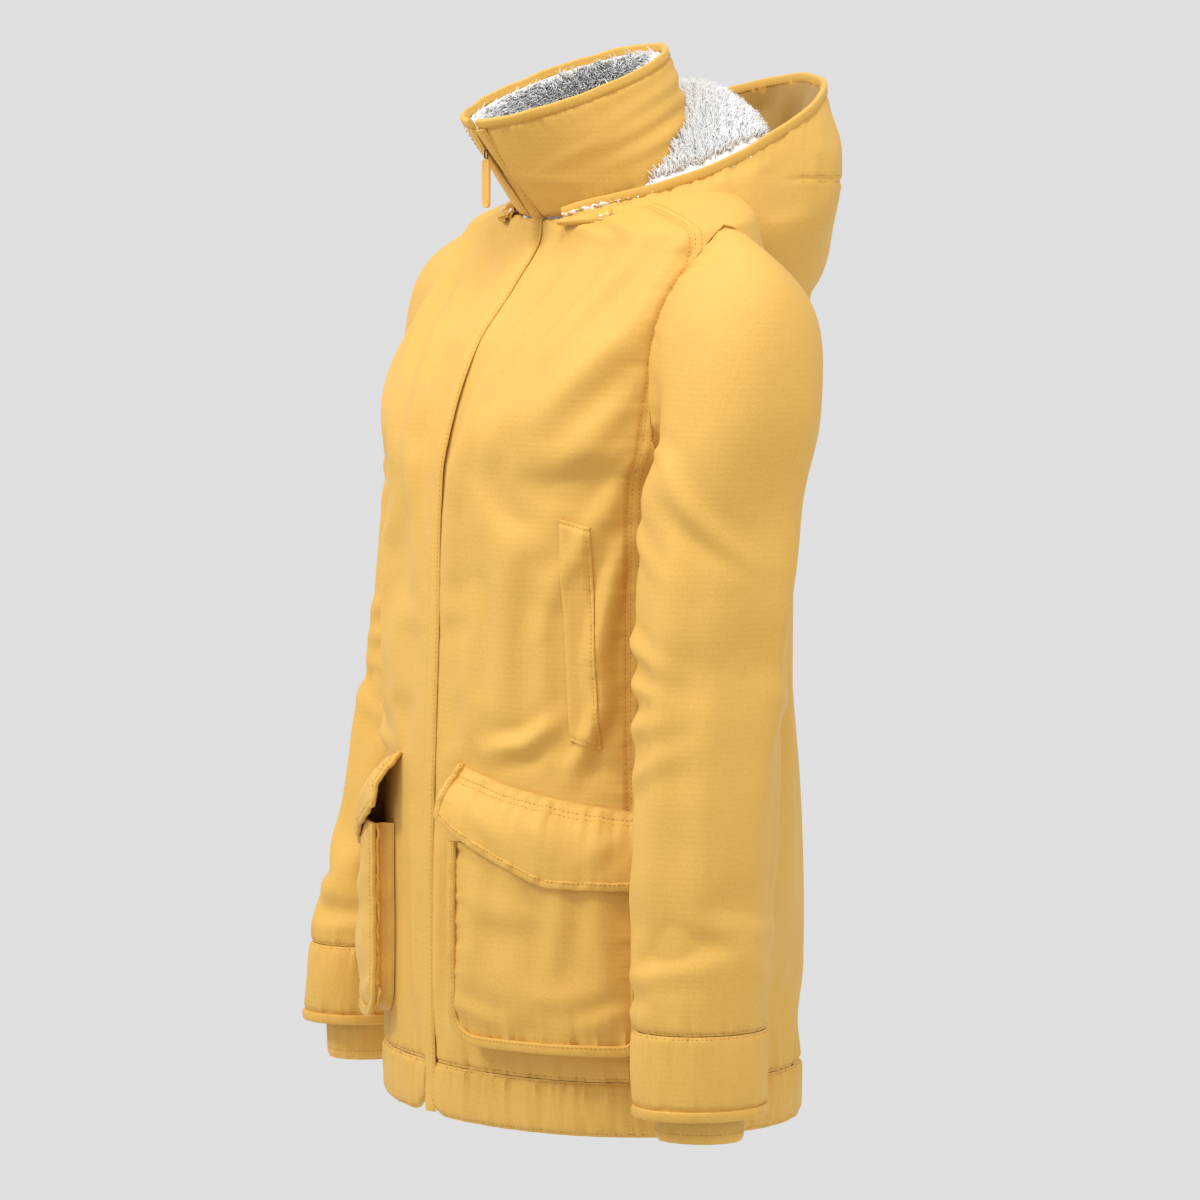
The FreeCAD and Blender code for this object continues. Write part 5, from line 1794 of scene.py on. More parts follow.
# ------------------------------------------------------------------ sleeves
@dataclass
class Sleeve(Part):
    """One sleeve with its lining, cuff band, bound edge and storm cuff.

    Attributes:
        side: the wearer's side.
    """

    side: Side

    RINGS = (
        ((178.9, 6, 511), 1.9, 187, 62, 0),
        ((186, 2, 513), 35.0, 166, 62, 24),
        ((192, -11, 513), 65.0, 130, 60, 36),
        ((196, -20, 509), 88.0, 109, 60, 37),
    )
    LEVELS = (
        (400, 255, -34, 53, 60, 43), (250, 268, -50, 50, 56, 34), (98, 280, -61, 46, 52, 10),
        (34, 283, -63, 45, 51, 6),
    )

    def build(self) -> None:
        """Make the sleeve's pieces."""
        self.shell()
        self.lining()
        self.cuff()
        self.storm_cuff()

    def tube(self, low: float, high: float, offset: float, step: float, columns: int) -> Net:
        """A net of the sleeve between two places along it.

        Args:
            low: lowest height, on the straight part.
            high: highest height, or the armhole when above 500.
            offset: distance outside the form.
            step: spacing along the sleeve.
            columns: number of columns around it.

        Returns:
            The net on the wearer's left, with column zero on the outer side.
        """
        turn = np.linspace(0, 2 * math.pi, columns, endpoint=False)
        rings, middles = [], []
        swing = 1 if self.side is Side.RIGHT else 0
        for height, x, y, rx, ry, back in self.LEVELS[::-1]:
            middle, along = np.array([x, y + swing * back, height], float), np.array([1.0, 0, 0])
            rings.append(self.ring(middle, along, rx + offset, ry + offset, turn))
            middles.append(middle)
        for start, angle, span, depth, back in self.RINGS[::-1]:
            along = np.array([math.sin(math.radians(angle)), 0, math.cos(math.radians(angle))])
            middle = np.array(start, float) + along * span / 2 + np.array([0, swing * back, 0])
            rings.append(self.ring(middle, along, span / 2 + offset, depth + offset, turn))
            middles.append(middle)
        rings, middles = np.stack(rings), np.stack(middles)
        run = lengths(middles)
        first = low - 34.0
        last = run[-1] if high > 500 else high - 34.0
        spots = spread(first, last, step, 0.9, 4.5)
        slopes = np.gradient(rings, run, axis=0)
        index = np.clip(np.searchsorted(run, spots, side="right") - 1, 0, len(run) - 2)
        length = (run[index + 1] - run[index])[:, None, None]
        share = ((spots - run[index])[:, None, None]) / length
        points = between(share, length, rings, slopes, index)
        if high > 500:
            points += self.to_armhole(points[-1], offset)[None] \
                * (np.clip(1 - (run[-1] - spots) / 46.0, 0, 1) ** 1.6)[:, None, None]
        self.spots, self.turns = spots, turn
        return Net(points, net_normals(points, True), None, True)

    @staticmethod
    def ring(middle: Array, along: Array, reach: float, depth: float, turn: Array) -> Array:
        """The points of one elliptical ring."""
        across = np.array([0, 1.0, 0])
        return middle + along * (reach * np.cos(turn))[:, None] + across * (depth * np.sin(turn))[:, None]

    def to_armhole(self, ring: Array, offset: float) -> Array:
        """How far the sleeve's last ring must move to meet the body's armhole.

        Args:
            ring: the last ring of points.
            offset: distance outside the form.

        Returns:
            The movement of each point of the ring.
        """
        tuck = 3.2
        low, high = UNDERARM - tuck, SHOULDER_TIP + tuck * 0.6
        heights = np.concatenate([np.linspace(low, 522, 24)[:-1], np.linspace(522, high, 70)])
        front, back = armhole_angles(heights)
        turn = np.where(front < 89.5, tuck / DEGREE, 0.0)
        angle = np.concatenate([front - turn, (back + turn)[::-1]])
        level = np.concatenate([heights, heights[::-1]])
        sunk = np.clip(DRAPES[self.side].lift(angle, level), -4, 5) - 2.9 + offset
        loop = BODY.points(angle, level) + BODY.normals(angle, level) * sunk[:, None]
        middle = np.array([6.0, 600.0])
        flat = loop[:, 1:] - middle
        turn = np.arctan2(flat[:, 0], flat[:, 1])
        order = np.argsort(turn)
        mine = ring[:, 1:] - middle
        want = np.arctan2(mine[:, 0], mine[:, 1])
        goal = np.stack([np.interp(want, turn[order], loop[order, axis], period=2 * math.pi)
                         for axis in range(3)], 1)
        return goal - ring

    def folds(self, net: Net) -> Array:
        """The soft folds of the sleeve: long drags, elbow creases and seam gathers."""
        down = (self.spots[-1] - self.spots)[:, None]
        around = (np.degrees(self.turns)[None, :] + 180) % 360 - 180
        seed = 5 if self.side is Side.LEFT else 9
        rng = np.random.default_rng(seed)
        total = np.zeros(net.points.shape[:2])
        long_folds = (
            (-62, -78, 130, 500, 13, 3.0), (-35, -22, 210, 560, 15, 2.0), (38, 22, 60, 420, 17, 2.4),
            (95, 80, 150, 520, 18, 2.8), (-118, -130, 90, 420, 16, 3.2), (150, 140, 120, 470, 20, 3.0),
            (5, 12, 330, 620, 18, 1.6),
        )
        for first, last, top, bottom, width, rise in long_folds:
            share = np.clip((down - top) / (bottom - top), 0, 1)
            middle = first + (last - first) * share + rng.uniform(-4, 4)
            gap = ((around - middle + 180) % 360 - 180) * 0.95
            trough = np.exp(-(((np.abs(gap) - 1.8 * width) / width) ** 2))
            crest = np.exp(-((gap / width) ** 2)) - 0.4 * trough
            total += rise * crest * np.sin(np.pi * np.clip(share, 0.02, 0.98)) ** 0.8
        for place, level, lean, reach, rise in (
            (-105, 262, 0.30, 42, 2.6), (-112, 290, 0.10, 48, 3.0), (-104, 318, -0.18, 44, 2.6),
            (-96, 352, -0.32, 38, 1.8), (60, 300, 0.25, 50, 1.3), (-60, 150, 0.55, 46, 2.3),
            (-88, 120, 0.75, 40, 2.4), (172, 140, -0.45, 60, 2.6), (-140, 175, 0.4, 50, 2.6),
            (20, 470, 0.12, 60, 1.2), (-70, 505, -0.14, 50, 1.6), (-120, 540, 0.12, 60, 1.5),
        ):
            gap_around = (around - place + 180) % 360 - 180
            gap = (down - level) - lean * gap_around
            crest = np.exp(-((gap / 8.5) ** 2)) - 0.4 * np.exp(-(((np.abs(gap) - 15) / 8) ** 2))
            total += rise * crest * np.exp(-((gap_around / reach) ** 2))
        total += 1.8 * np.exp(-((down / 38.0) ** 2)) * np.exp(-((around / 75) ** 2))
        for length, size in ((97.0, 0.55), (151.0, 0.6), (61.0, 0.3)):
            total += size * np.sin(2 * math.pi * down / length + np.radians(around) * rng.integers(1, 4)
                                   + rng.uniform(0, 6))
        return total * 1.35

    def shell(self) -> None:
        """Make the sleeve's outer cloth."""
        base = self.tube(98.0, 600.0, 0.0, 3.6, 108)
        folds = self.folds(base)
        away = base.edge_distance()
        ends = np.clip(np.minimum(away[Edge.TOP], away[Edge.BOTTOM]) / 16, 0, 1)
        folds = folds * ends
        around = np.repeat(np.degrees(self.turns)[None, :], len(self.spots), 0)
        held = np.clip(np.exp(-((away[Edge.TOP] / 22) ** 2)) + np.exp(-((away[Edge.BOTTOM] / 16) ** 2)), 0, 1)
        drift = relax(base.moved(folds), held, 0.014, 14, 5.0, stiff=1.2)
        lift = folds + seam_roll(base, (Edge.BOTTOM,), 1.6, 2.8)
        lift += pucker(around * 1.25, np.abs(away[Edge.TOP] - 4.0), 1.1, 17, 81 + self.side.value)
        lift += pucker(around * 0.95, away[Edge.BOTTOM], 1.2, 18, 85 + self.side.value)
        net = base.moved(lift, drift, -4.4)
        word = self.side.word
        sheet, thread = self.shop.sew(
            f"{word}_sleeve_cloth", net, base, (f"{word}_sleeve",), ("shoulder_yoke",),
            f"{word}_sleeve_stitches", [net.line(Edge.BOTTOM, 2.2)], self.side, "", slack=1.01)
        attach(thread, f"{word}_arm")
        self.bend(sheet)

    def bend(self, piece: bpy.types.Object) -> None:
        """Bake a piece's placement into its mesh."""
        bend_cloth(piece)

    def lining(self) -> None:
        """Make the satin lining of the sleeve."""
        base = self.tube(98.0, 600.0, -7.0, 7.0, 60)
        word = self.side.word
        self.bend(*self.shop.sew(f"{word}_sleeve_satin", base, base, (f"{word}_sleeve_lining",),
                                 (f"{word}_sleeve",), side=self.side, body="", finish="satin", thickness=1.4))

    def cuff(self) -> None:
        """Make the cuff band and its bound edge."""
        word = self.side.word
        base = self.tube(41.2, 97.6, 0.4, 2.6, 132)
        away = base.edge_distance()
        around = np.repeat(np.degrees(self.turns)[None, :], len(self.spots), 0)
        lift = 1.5 * np.sin(np.pi * np.clip(away[Edge.TOP] / 56.0, 0.03, 0.97)) ** 0.7
        lift += seam_roll(base, (Edge.TOP, Edge.BOTTOM), 1.5, 2.6)
        lift += pucker(around * 0.9, away[Edge.TOP], 1.3, 16, 91 + self.side.value)
        lift += pucker(around * 0.9, away[Edge.BOTTOM], 1.1, 11, 94 + self.side.value)
        lift += 1.2 * np.sin(np.radians(around) * 3 + 1.0) * np.sin(np.pi * away[Edge.TOP] / 56.0)
        net = base.moved(lift)
        rows = [net.line(Edge.TOP, 2.2)]
        low = self.tube(34.0, 41.6, 0.0, 2.0, 132)
        ring = low.points[len(low.points) // 2]
        out = low.normals[len(low.points) // 2]
        out = unit(out * np.array([1, 1, 0.0]))
        wave = 0.5 * np.sin(self.turns * 11) + 0.4 * np.sin(self.turns * 23)
        up = np.repeat(np.array([[0, 0, 1.0]]), len(ring), 0)
        ring = ring + out * (0.1 + 0.5 * wave)[:, None]
        band = sweep(ring, out, up, band_outline(8.2, 4.4), True)
        rows.append((ring + out * 2.15 + up * 2.1, out))
        if self.side is Side.RIGHT:
            net, rows = net.mirrored(), flipped(rows)
            band = Net(band.points[::-1] * FLIP, band.normals[::-1] * FLIP, None, True)
        sheet = self.shop.cloth(f"{word}_cuff_cloth", net, 2.2, self.shop.finishes.shell)
        edge = self.shop.tube(f"{word}_cuff_edge", band, self.shop.finishes.shell_edge, ring=True)
        thread = self.shop.stitches(f"{word}_cuff_stitches", rows)
        dress(sheet, f"{word}_arm", (f"{word}_cuff_band",))
        dress(edge, f"{word}_arm", (f"{word}_cuff_binding",))
        dress(thread, f"{word}_arm")
        declare(base)

    def storm_cuff(self) -> None:
        """Make the snug inner cuff that shows below the sleeve."""
        word = self.side.word
        low, middle = (2.0, -56.0) if self.side is Side.RIGHT else (14.0, -62.0)
        heights = spread(low, 92.0, 2.4, 0.8, 4.0)
        turn = np.linspace(0, 2 * math.pi, 120, endpoint=False)
        share = ((heights - low) / (92.0 - low))[:, None]
        radius = 33.0 + 3.0 * share
        ribs = 0.5 * np.sin(turn * 17 + 0.8 * np.sin(share * 5))[None, 0] * (1 - share * 0.5)
        radius = radius + ribs + 0.9 * np.sin(turn * 3 + 1)[None, :] * (1 - share)
        radius = radius - 1.4 * np.exp(-((share * 78.0 / 2.4) ** 2))
        points = np.stack([
            282.0 + radius * np.cos(turn), middle + radius * np.sin(turn),
            np.repeat(heights[:, None], len(turn), 1),
        ], axis=-1)
        base = Net(points, net_normals(points, True), None, True)
        self.shop.sew(f"{word}_storm_cuff_cloth", base, base, (f"{word}_storm_cuff",), (f"{word}_sleeve",),
                      f"{word}_storm_cuff_stitches", [base.line(Edge.BOTTOM, 7.5)], self.side,
                      f"{word}_arm", thickness=1.8)


# ------------------------------------------------------------------ pockets
@dataclass
class PatchPocket(Part):
    """A bellows pocket with its bound edge and flap.

    Attributes:
        side: the wearer's side.
        first: angle of the pouch's front edge.
        last: angle of its side edge.
        low: height of its bottom.
        high: height of its top.
        proud: how far its face stands off the coat.
    """

    side: Side
    first: float = 17.5
    last: float = 66.5
    low: float = 66.0
    high: float = 222.0
    proud: float = 17.6

    def build(self) -> None:
        """Make the pocket's pieces."""
        self.pouch()
        self.gusset_and_binding()
        self.flap()

    def hung(self, angle: Array, level: Array, offset: Array) -> Array:
        """Points that stand off the draped front.

        Args:
            angle: angles in degrees.
            level: heights.
            offset: distance off the cloth.

        Returns:
            Points on the wearer's left.
        """
        drape = DRAPES[self.side].lift(angle, level)
        return BODY.points(angle, level, 0.0) + BODY.normals(angle, level) * (drape + offset)[..., None]

    def outline(self, inset: float, count: int = 170) -> Tuple[Array, Array]:
        """The pouch's U-shaped edge, down the front, along the bottom and up the side.

        Args:
            inset: distance inside the edge.
            count: number of points.

        Returns:
            Angles and heights along the edge.
        """
        first, last = self.first * DEGREE + inset, self.last * DEGREE - inset
        low, corner = self.low + inset, 24.0 - inset * 0.8
        line = [(first, self.high), (first, low + corner)]
        for turn in np.linspace(0, math.pi / 2, 9)[1:]:
            line.append((first + corner * (1 - math.cos(turn)), low + corner * (1 - math.sin(turn))))
        for turn in np.linspace(0, math.pi / 2, 9):
            line.append((last - corner * 0.5 * (1 - math.sin(turn)),
                         low + corner * 0.5 * (1 - math.cos(turn))))
        line.append((last, self.high))
        line = np.array(line)
        run = lengths(line)
        spots = np.linspace(0, run[-1], count)
        return np.interp(spots, run, line[:, 0]) / DEGREE, np.interp(spots, run, line[:, 1])

    def pouch(self) -> None:
        """Make the pouch's face: padded, sagging and puckered along its binding."""
        share = spread(0.0, 1.0, 0.019, 0.008, 0.06)
        rows = spread(0.0, 1.0, 0.019, 0.008, 0.06)
        angle = self.first + share * (self.last - self.first)
        near, far = (angle - self.first) * DEGREE, (self.last - angle) * DEGREE
        lift_up = 24.0 - np.sqrt(np.maximum(24.0 ** 2 - np.clip(24.0 - near, 0, 24) ** 2, 0))
        lift_up = np.minimum(lift_up, 21.0)
        side_up = 12.0 - np.sqrt(np.maximum(12.0 ** 2 - np.clip(12.0 - far, 0, 12) ** 2, 0))
        floor = self.low + np.maximum(lift_up, np.minimum(side_up, 10.0))
        level = floor[None, :] + rows[:, None] * (self.high - floor)[None, :]
        angle = np.repeat(angle[None, :], len(rows), 0)
        base = Net(self.hung(angle, level, np.full(angle.shape, self.proud - 2.0)),
                   BODY.normals(angle, level))
        away = base.edge_distance()
        rim = np.minimum(np.minimum(away[Edge.START], away[Edge.END]), away[Edge.BOTTOM])
        full = 1 - np.exp(-rim / 16.0)
        sag = np.exp(-(((level - 108) / 42.0) ** 2)) * full * 2.6
        along = angle * DEGREE
        lift = 1.6 * full + sag
        lift += pucker(along, away[Edge.BOTTOM], 1.9, 20, 101)
        lift += pucker(level, away[Edge.START], 1.1, 17, 102) + pucker(level, away[Edge.END], 1.2, 15, 103)
        folds = (
            Fold(((27, 214), (25, 150), (22, 100)), 8, 2.0), Fold(((35, 220), (36, 160), (40, 95)), 9, 1.7),
            Fold(((46, 220), (47, 170), (44, 110)), 8, 1.9), Fold(((56, 220), (57, 150), (60, 90)), 9, 1.8),
            Fold(((17, 100), (24, 92), (34, 84)), 7, 1.6), Fold(((66, 106), (58, 92), (50, 84)), 7, 1.5),
            Fold(((20, 190), (31, 172), (44, 168)), 10, 1.2),
        )
        for fold in folds:
            lift += fold.lift(along, level + (0 if self.side is Side.LEFT else 4)) * full
        held = np.clip(np.exp(-((rim / 9.0) ** 2)) + np.exp(-((away[Edge.TOP] / 9.0) ** 2)), 0, 1)
        drift = relax(base.moved(lift), held, 0.018, 12, 2.6, stride=2, stiff=1.2)
        limit = np.where(level > 188, 3.4, 6.0)
        net = base.moved(np.minimum(lift, limit), drift)
        word = self.side.word
        self.shop.sew(f"{word}_pouch_cloth", net, base, (f"{word}_patch_pocket",), (f"{word}_front_panel",),
                      side=self.side, thickness=1.8)

    def gusset_and_binding(self) -> None:
        """Make the pleated gusset and the rolled binding of the pouch's edge."""
        angle, level = self.outline(0.0)
        body = self.hung(angle, level, np.full(angle.shape, 0.6))
        face = self.hung(angle, level, np.full(angle.shape, self.proud - 0.6))
        inward = self.inward(face, BODY.normals(angle, level))
        shape = ((0.0, 2.5), (0.22, 3.4), (0.42, 5.6), (0.55, 6.6), (0.68, 5.0), (0.85, 2.2), (1.0, 1.4))
        wave = 0.8 * np.sin(np.arange(len(angle)) / 4.3) + 0.5 * np.sin(np.arange(len(angle)) / 1.9)
        lines = []
        for share, depth in shape:
            push = depth + wave * (1 if 0.1 < share < 0.9 else 0.2)
            lines.append(body * (1 - share) + face * share + inward * push[:, None])
        net = loft(lines, 20)
        centre = face.mean(0)
        if ((net.points - centre) * net.normals).sum() < 0:
            net = loft(lines, 20, turned=True)
        word = self.side.word
        self.shop.sew(f"{word}_gusset_cloth", net, net, (f"{word}_pocket_gusset",), (f"{word}_front_panel",),
                      side=self.side, thickness=1.2)

        angle, level = self.outline(3.4, 220)
        wave = 0.5 * np.sin(np.arange(len(angle)) / 3.1) + 0.35 * np.sin(np.arange(len(angle)) / 1.3)
        path = self.hung(angle, level, self.proud + 0.2 + wave * 0.5)
        out = BODY.normals(angle, level)
        inward = self.inward(path, out)
        path = path + inward * (wave * 0.2)[:, None]
        band = sweep(path, out, inward, band_outline(8.6, 4.2), False)
        self.shop.bind(f"{word}_pouch_binding", band, f"{word}_pocket_binding", f"{word}_pouch_stitches",
                       [(path + out * 2.0 + inward * 2.3, out)], self.side)

    @staticmethod
    def inward(path: Array, out: Array) -> Array:
        """The direction across a line towards the middle of the pouch."""
        run = unit(np.gradient(path, axis=0))
        across = unit(np.cross(out, run))
        if ((path.mean(0) - path) * across).sum() < 0:
            across = -across
        return across

    def flap_edge(self, angle: Array) -> Array:
        """The height of the flap's lower edge at each angle, with its cut-off front corner."""
        knots = np.array([(14.0, 238.5), (16.5, 236.0), (19.5, 229.5), (31.0, 213.0), (41.5, 197.5),
                          (44.5, 194.6), (48.0, 194.0), (68.0, 194.0)])
        return np.interp(angle, knots[:, 0], knots[:, 1])

    def flap_net(self) -> Net:
        """The undraped net of the flap, with rows from its lower edge up."""
        share = spread(0.0, 1.0, 0.016, 0.006, 0.04)
        rows = spread(0.0, 1.0, 0.035, 0.015, 0.09)
        angle = 14.2 + share * (67.5 - 14.2)
        x = BODY.points(angle, np.full(len(angle), 260.0))[:, 0]
        top = 290.0 - 0.21 * x
        low = self.flap_edge(angle)
        level = low[None, :] + rows[:, None] * (top - low)[None, :]
        angle = np.repeat(angle[None, :], len(rows), 0)
        down = top[None, :] - level
        stand = 1.6 + 20.4 * (1 - np.exp(-((down / 17.0) ** 1.5)))
        self.angles, self.levels, self.down = angle, level, down
        return Net(self.hung(angle, level, stand), BODY.normals(angle, level))

    def flap(self) -> None:
        """Make the flap with its bound edge, hinged where it is sewn on."""
        base = self.flap_net()
        base = Net(base.points, net_normals(base.points, False))
        angle, level, down = self.angles, self.levels, self.down
        away = base.edge_distance()
        along = angle * DEGREE
        lift = 1.4 * np.sin(np.pi * np.clip(down / 62.0, 0.02, 0.98)) ** 0.8
        lift += pucker(along, np.abs(down - 8.0), 1.5, 17, 111) * np.clip(down / 4, 0, 1)
        lift += pucker(along, away[Edge.BOTTOM], 1.2, 13, 112) + pucker(level, away[Edge.START], 0.9, 11, 113)
        lift += -1.5 * np.exp(-(((down - 8.5) / 2.0) ** 2))
        lift += 1.1 * np.sin(along / 27.0 + 1.0) * np.clip(down / 50.0, 0, 1)
        for fold in (
            Fold(((24, 268), (27, 245), (34, 225)), 7, 1.5), Fold(((40, 262), (42, 240), (48, 215)), 8, 1.4),
            Fold(((57, 256), (55, 235), (58, 205)), 8, 1.6), Fold(((63, 250), (60, 230), (52, 212)), 7, 1.1),
        ):
            lift += fold.lift(along, level)
        held = np.clip(np.exp(-((down / 12.0) ** 2)) + 0.65, 0, 1)
        drift = relax(base.moved(lift), held, 0.02, 10, 2.0, stiff=1.5)
        net = base.moved(lift, drift)
        word = self.side.word
        path = np.concatenate([net.points[::-1, 0], net.points[0, 1:], net.points[1:, -1]])
        ways = np.concatenate([net.normals[::-1, 0], net.normals[0, 1:], net.normals[1:, -1]])
        run = lengths(path)
        even = np.linspace(0, run[-1], 230)
        path = softened(along_line(path, run, even), 3)
        ways = unit(along_line(ways, run, even))
        inward = self.inward(path, ways)
        wave = 0.4 * np.sin(even / 4.1) + 0.3 * np.sin(even / 2.3)
        middle = path - ways * (0.9 - 0.3 * wave[:, None]) + inward * (2.4 + 0.4 * wave)[:, None]
        band = sweep(middle, ways, inward, band_outline(7.0, 3.8), False)
        rows = [(middle + ways * 1.9 + inward * 2.0, ways)]
        for inset in (8.6, 14.0):
            spots, directions = net.line(Edge.TOP, inset)
            rows.append((spots[4:-4], directions[4:-4]))
        if self.side is Side.RIGHT:
            net, rows = net.mirrored(), flipped(rows)
            band = Net(band.points * FLIP, band.normals * FLIP, None, True)
        sheet = self.shop.cloth(f"{word}_flap_cloth", net, 2.0, self.shop.finishes.shell)
        piece = self.shop.tube(f"{word}_flap_edge", band, self.shop.finishes.shell_edge)
        thread = self.shop.stitches(f"{word}_flap_stitches", rows)
        body = f"{word}_flap"
        dress(sheet, body, (f"{word}_pocket_flap",))
        dress(piece, body, (f"{word}_flap_binding",))
        dress(thread, body)
        declare(base)


@dataclass
class HandPocket(Part):
    """A slanted hand pocket: the padded welt outside and the bag behind the shell."""

    side: Side

    def build(self) -> None:
        """Make the welt and the bag."""
        self.welt()
        self.bag()

    def welt(self) -> None:
        """Make the padded welt with stitches at its ends and its side-seam edge."""
        rows, share = spread(0.0, 1.0, 0.018, 0.006, 0.03), spread(0.0, 1.0, 0.07, 0.03, 0.12)
        level = 302.0 + rows[:, None] * 170.0 + (share[None, :] - 0.5) * -6.0
        middle = 52.4 - rows[:, None] * 3.3
        angle = middle + (share[None, :] - 0.5) * 26.0 / DEGREE
        drape = DRAPES[self.side].lift(angle, level)
        base = Net(BODY.points(angle, level) + BODY.normals(angle, level) * (drape + 0.9)[..., None],
                   BODY.normals(angle, level))
        away = base.edge_distance()
        rim = np.minimum.reduce([away[edge] for edge in Edge])
        lift = 3.0 * (1 - np.exp(-((rim + 0.5) / 2.6)))
        lift += 1.3 * (1 - share[None, :]) * np.exp(-((away[Edge.START] / 8.0) ** 2))
        lift += topstitch_dent(base, Edge.END, 3.4, 1.2) + topstitch_dent(base, Edge.TOP, 3.0, 1.1)
        lift += topstitch_dent(base, Edge.BOTTOM, 3.0, 1.1)
        lift += pucker(level, away[Edge.END], 0.8, 8, 121) + 0.4 * np.sin(level / 21.0) * share[None, :]
        net = base.moved(lift)
        word = self.side.word
        lines = [net.line(Edge.END, 3.4), net.line(Edge.TOP, 3.0), net.line(Edge.BOTTOM, 3.0)]
        self.shop.sew(f"{word}_welt_cloth", net, base, (f"{word}_hand_pocket_welt",),
                      (f"{word}_front_panel",), f"{word}_welt_stitches", lines, self.side, thickness=3.4,
                      pitch=3.4)

    def bag(self) -> None:
        """Make the flat bag between the shell and the lining."""
        angles, levels = np.meshgrid(np.linspace(18.5, 51.5, 22), np.linspace(263, 467, 34))
        base = BODY.net(angles, levels, -4.9)
        word = self.side.word
        self.shop.sew(f"{word}_pocket_bag_cloth", base, base, (f"{word}_hand_pocket_bag",),
                      (f"{word}_front_panel",), side=self.side, finish="satin", thickness=1.2)


# ------------------------------------------------------------------ hood
@dataclass
class Hood(Part):
    """The hood, folded back behind the collar."""


    RIM = ((43, -49, 704), (62, -34, 711), (82, -12, 718), (99, 22, 728), (109, 56, 741), (111, 88, 756),
           (106, 119, 771), (92, 147, 784), (67, 172, 796), (36, 188, 803), (0, 194, 806))
    MEETING = 5
    SEAM = ((111, 88, 756), (94, 98, 768), (64, 102, 782), (32, 99, 792), (0, 97, 795))
    NECK_LINE = ((34, 719.5), (50, 720), (75, 724), (100, 735), (125, 750), (150, 760), (180, 763))

    def build(self) -> None:
        """Make the hood's pieces."""
        self.outer()
        self.pile_facing()
        self.satin_bowl()
        self.rim_band()
        self.corners()

    @staticmethod
    def both(half: Sequence[Point]) -> List[Point]:
        """A line on the wearer's left continued over the centre back to the right."""
        return list(half) + [(-x, y, z) for x, y, z in half[-2::-1]]

    def rim_line(self, count: int) -> Array:
        """The hood's opening edge, from its left front corner round to the right one."""
        return smooth_line(self.both(self.RIM), count)

    def neck_line(self, count: int) -> Array:
        """Where the hood meets the collar, in the same order."""
        nodes = []
        for angle, height in self.NECK_LINE:
            nodes.append(tuple(COLLAR.points(angle, height, 3.0)))
        return smooth_line(self.both(nodes), count)

    def outer(self) -> None:
        """Make the outer shell: over the rim, down the back and curled under."""
        count = 200
        rim = self.rim_line(count)
        halves = (
            ((44, -50, 700), (66, -36, 705), (88, -14, 711), (108, 22, 718), (121, 60, 727), (124, 94, 735),
             (119, 127, 746), (104, 156, 756), (76, 180, 766), (40, 194, 772), (0, 198, 775)),
            ((45, -49, 697), (68, -36, 701), (91, -14, 705), (113, 20, 710), (126, 58, 714), (128, 93, 716),
             (122, 127, 722), (106, 158, 728), (77, 181, 735), (40, 194, 740), (0, 198, 742)),
            ((46, -46, 694), (70, -33, 697), (94, -12, 700), (115, 20, 701), (126, 56, 697), (126, 89, 690),
             (118, 123, 688), (102, 153, 688), (74, 176, 690), (39, 189, 694), (0, 193, 695)),
            ((47, -41, 692), (71, -28, 695), (95, -8, 697), (114, 22, 694), (122, 56, 682), (118, 85, 666),
             (108, 116, 655), (92, 143, 648), (67, 165, 645), (35, 179, 645), (0, 183, 645)),
            ((48, -35, 694), (72, -21, 697), (94, -2, 697), (109, 26, 690), (113, 58, 672), (106, 85, 650),
             (95, 112, 634), (80, 136, 624), (57, 154, 619), (30, 165, 617), (0, 169, 616)),
            ((49, -30, 700), (70, -14, 703), (88, 4, 704), (98, 30, 698), (98, 60, 682), (90, 84, 660),
             (78, 105, 641), (64, 124, 629), (46, 140, 622), (24, 148, 619), (0, 150, 618)),
        )
        lines = [rim] + [smooth_line(self.both(half), count) for half in halves]
        net = loft(lines[::-1], 120)
        base = net
        p = net.points
        away = net.edge_distance()
        rear = np.clip((p[..., 1] - 60) / 60, 0, 1)
        low = np.clip((760 - p[..., 2]) / 90, 0, 1)
        lift = 1.9 * rear * np.sin(p[..., 0] / 17.0 + 1.5 * np.sin(p[..., 2] / 37.0)) * low
        under = np.clip((700 - p[..., 2]) / 60, 0, 1)
        lift += 1.3 * rear * np.sin(p[..., 2] / 12.0 + p[..., 0] / 40.0) * under
        seam = np.abs(p[..., 2] - 722 - 0.08 * np.abs(p[..., 0]))
        stitched = np.clip((p[..., 1] - 100) / 25, 0, 1)
        lift += -1.8 * np.exp(-((seam / 2.4) ** 2)) * stitched
        lift += pucker(p[..., 0] + p[..., 1] * 0.7, seam, 1.3, 13, 131) * stitched
        lift += pucker(p[..., 0] * 0.7 + p[..., 1], away[Edge.TOP], 1.2, 12, 132)
        for side in (-1, 1):
            gap = np.abs(p[..., 0] - side * 47)
            lift += -1.8 * np.exp(-((gap / 2.6) ** 2)) * np.clip((p[..., 1] - 120) / 30, 0, 1)
        held = np.clip(np.exp(-((away[Edge.TOP] / 12) ** 2)) + np.exp(-((away[Edge.BOTTOM] / 25) ** 2)), 0, 1)
        drift = relax(base.moved(lift), held, 0.02, 14, 5.0, stiff=1.0, gravity=0.5)
        net = base.moved(lift, drift)
        nodes = ("hood_centre_panel", "left_hood_side_panel", "right_hood_side_panel")
        self.hinge(*self.shop.sew(
            "hood_shell", net, base, nodes, ("collar_outer", "shoulder_yoke"), "hood_topstitching",
            self.level_rows(net, 722.0, 2.6) + self.upright_rows(net), body="", held="folded"))

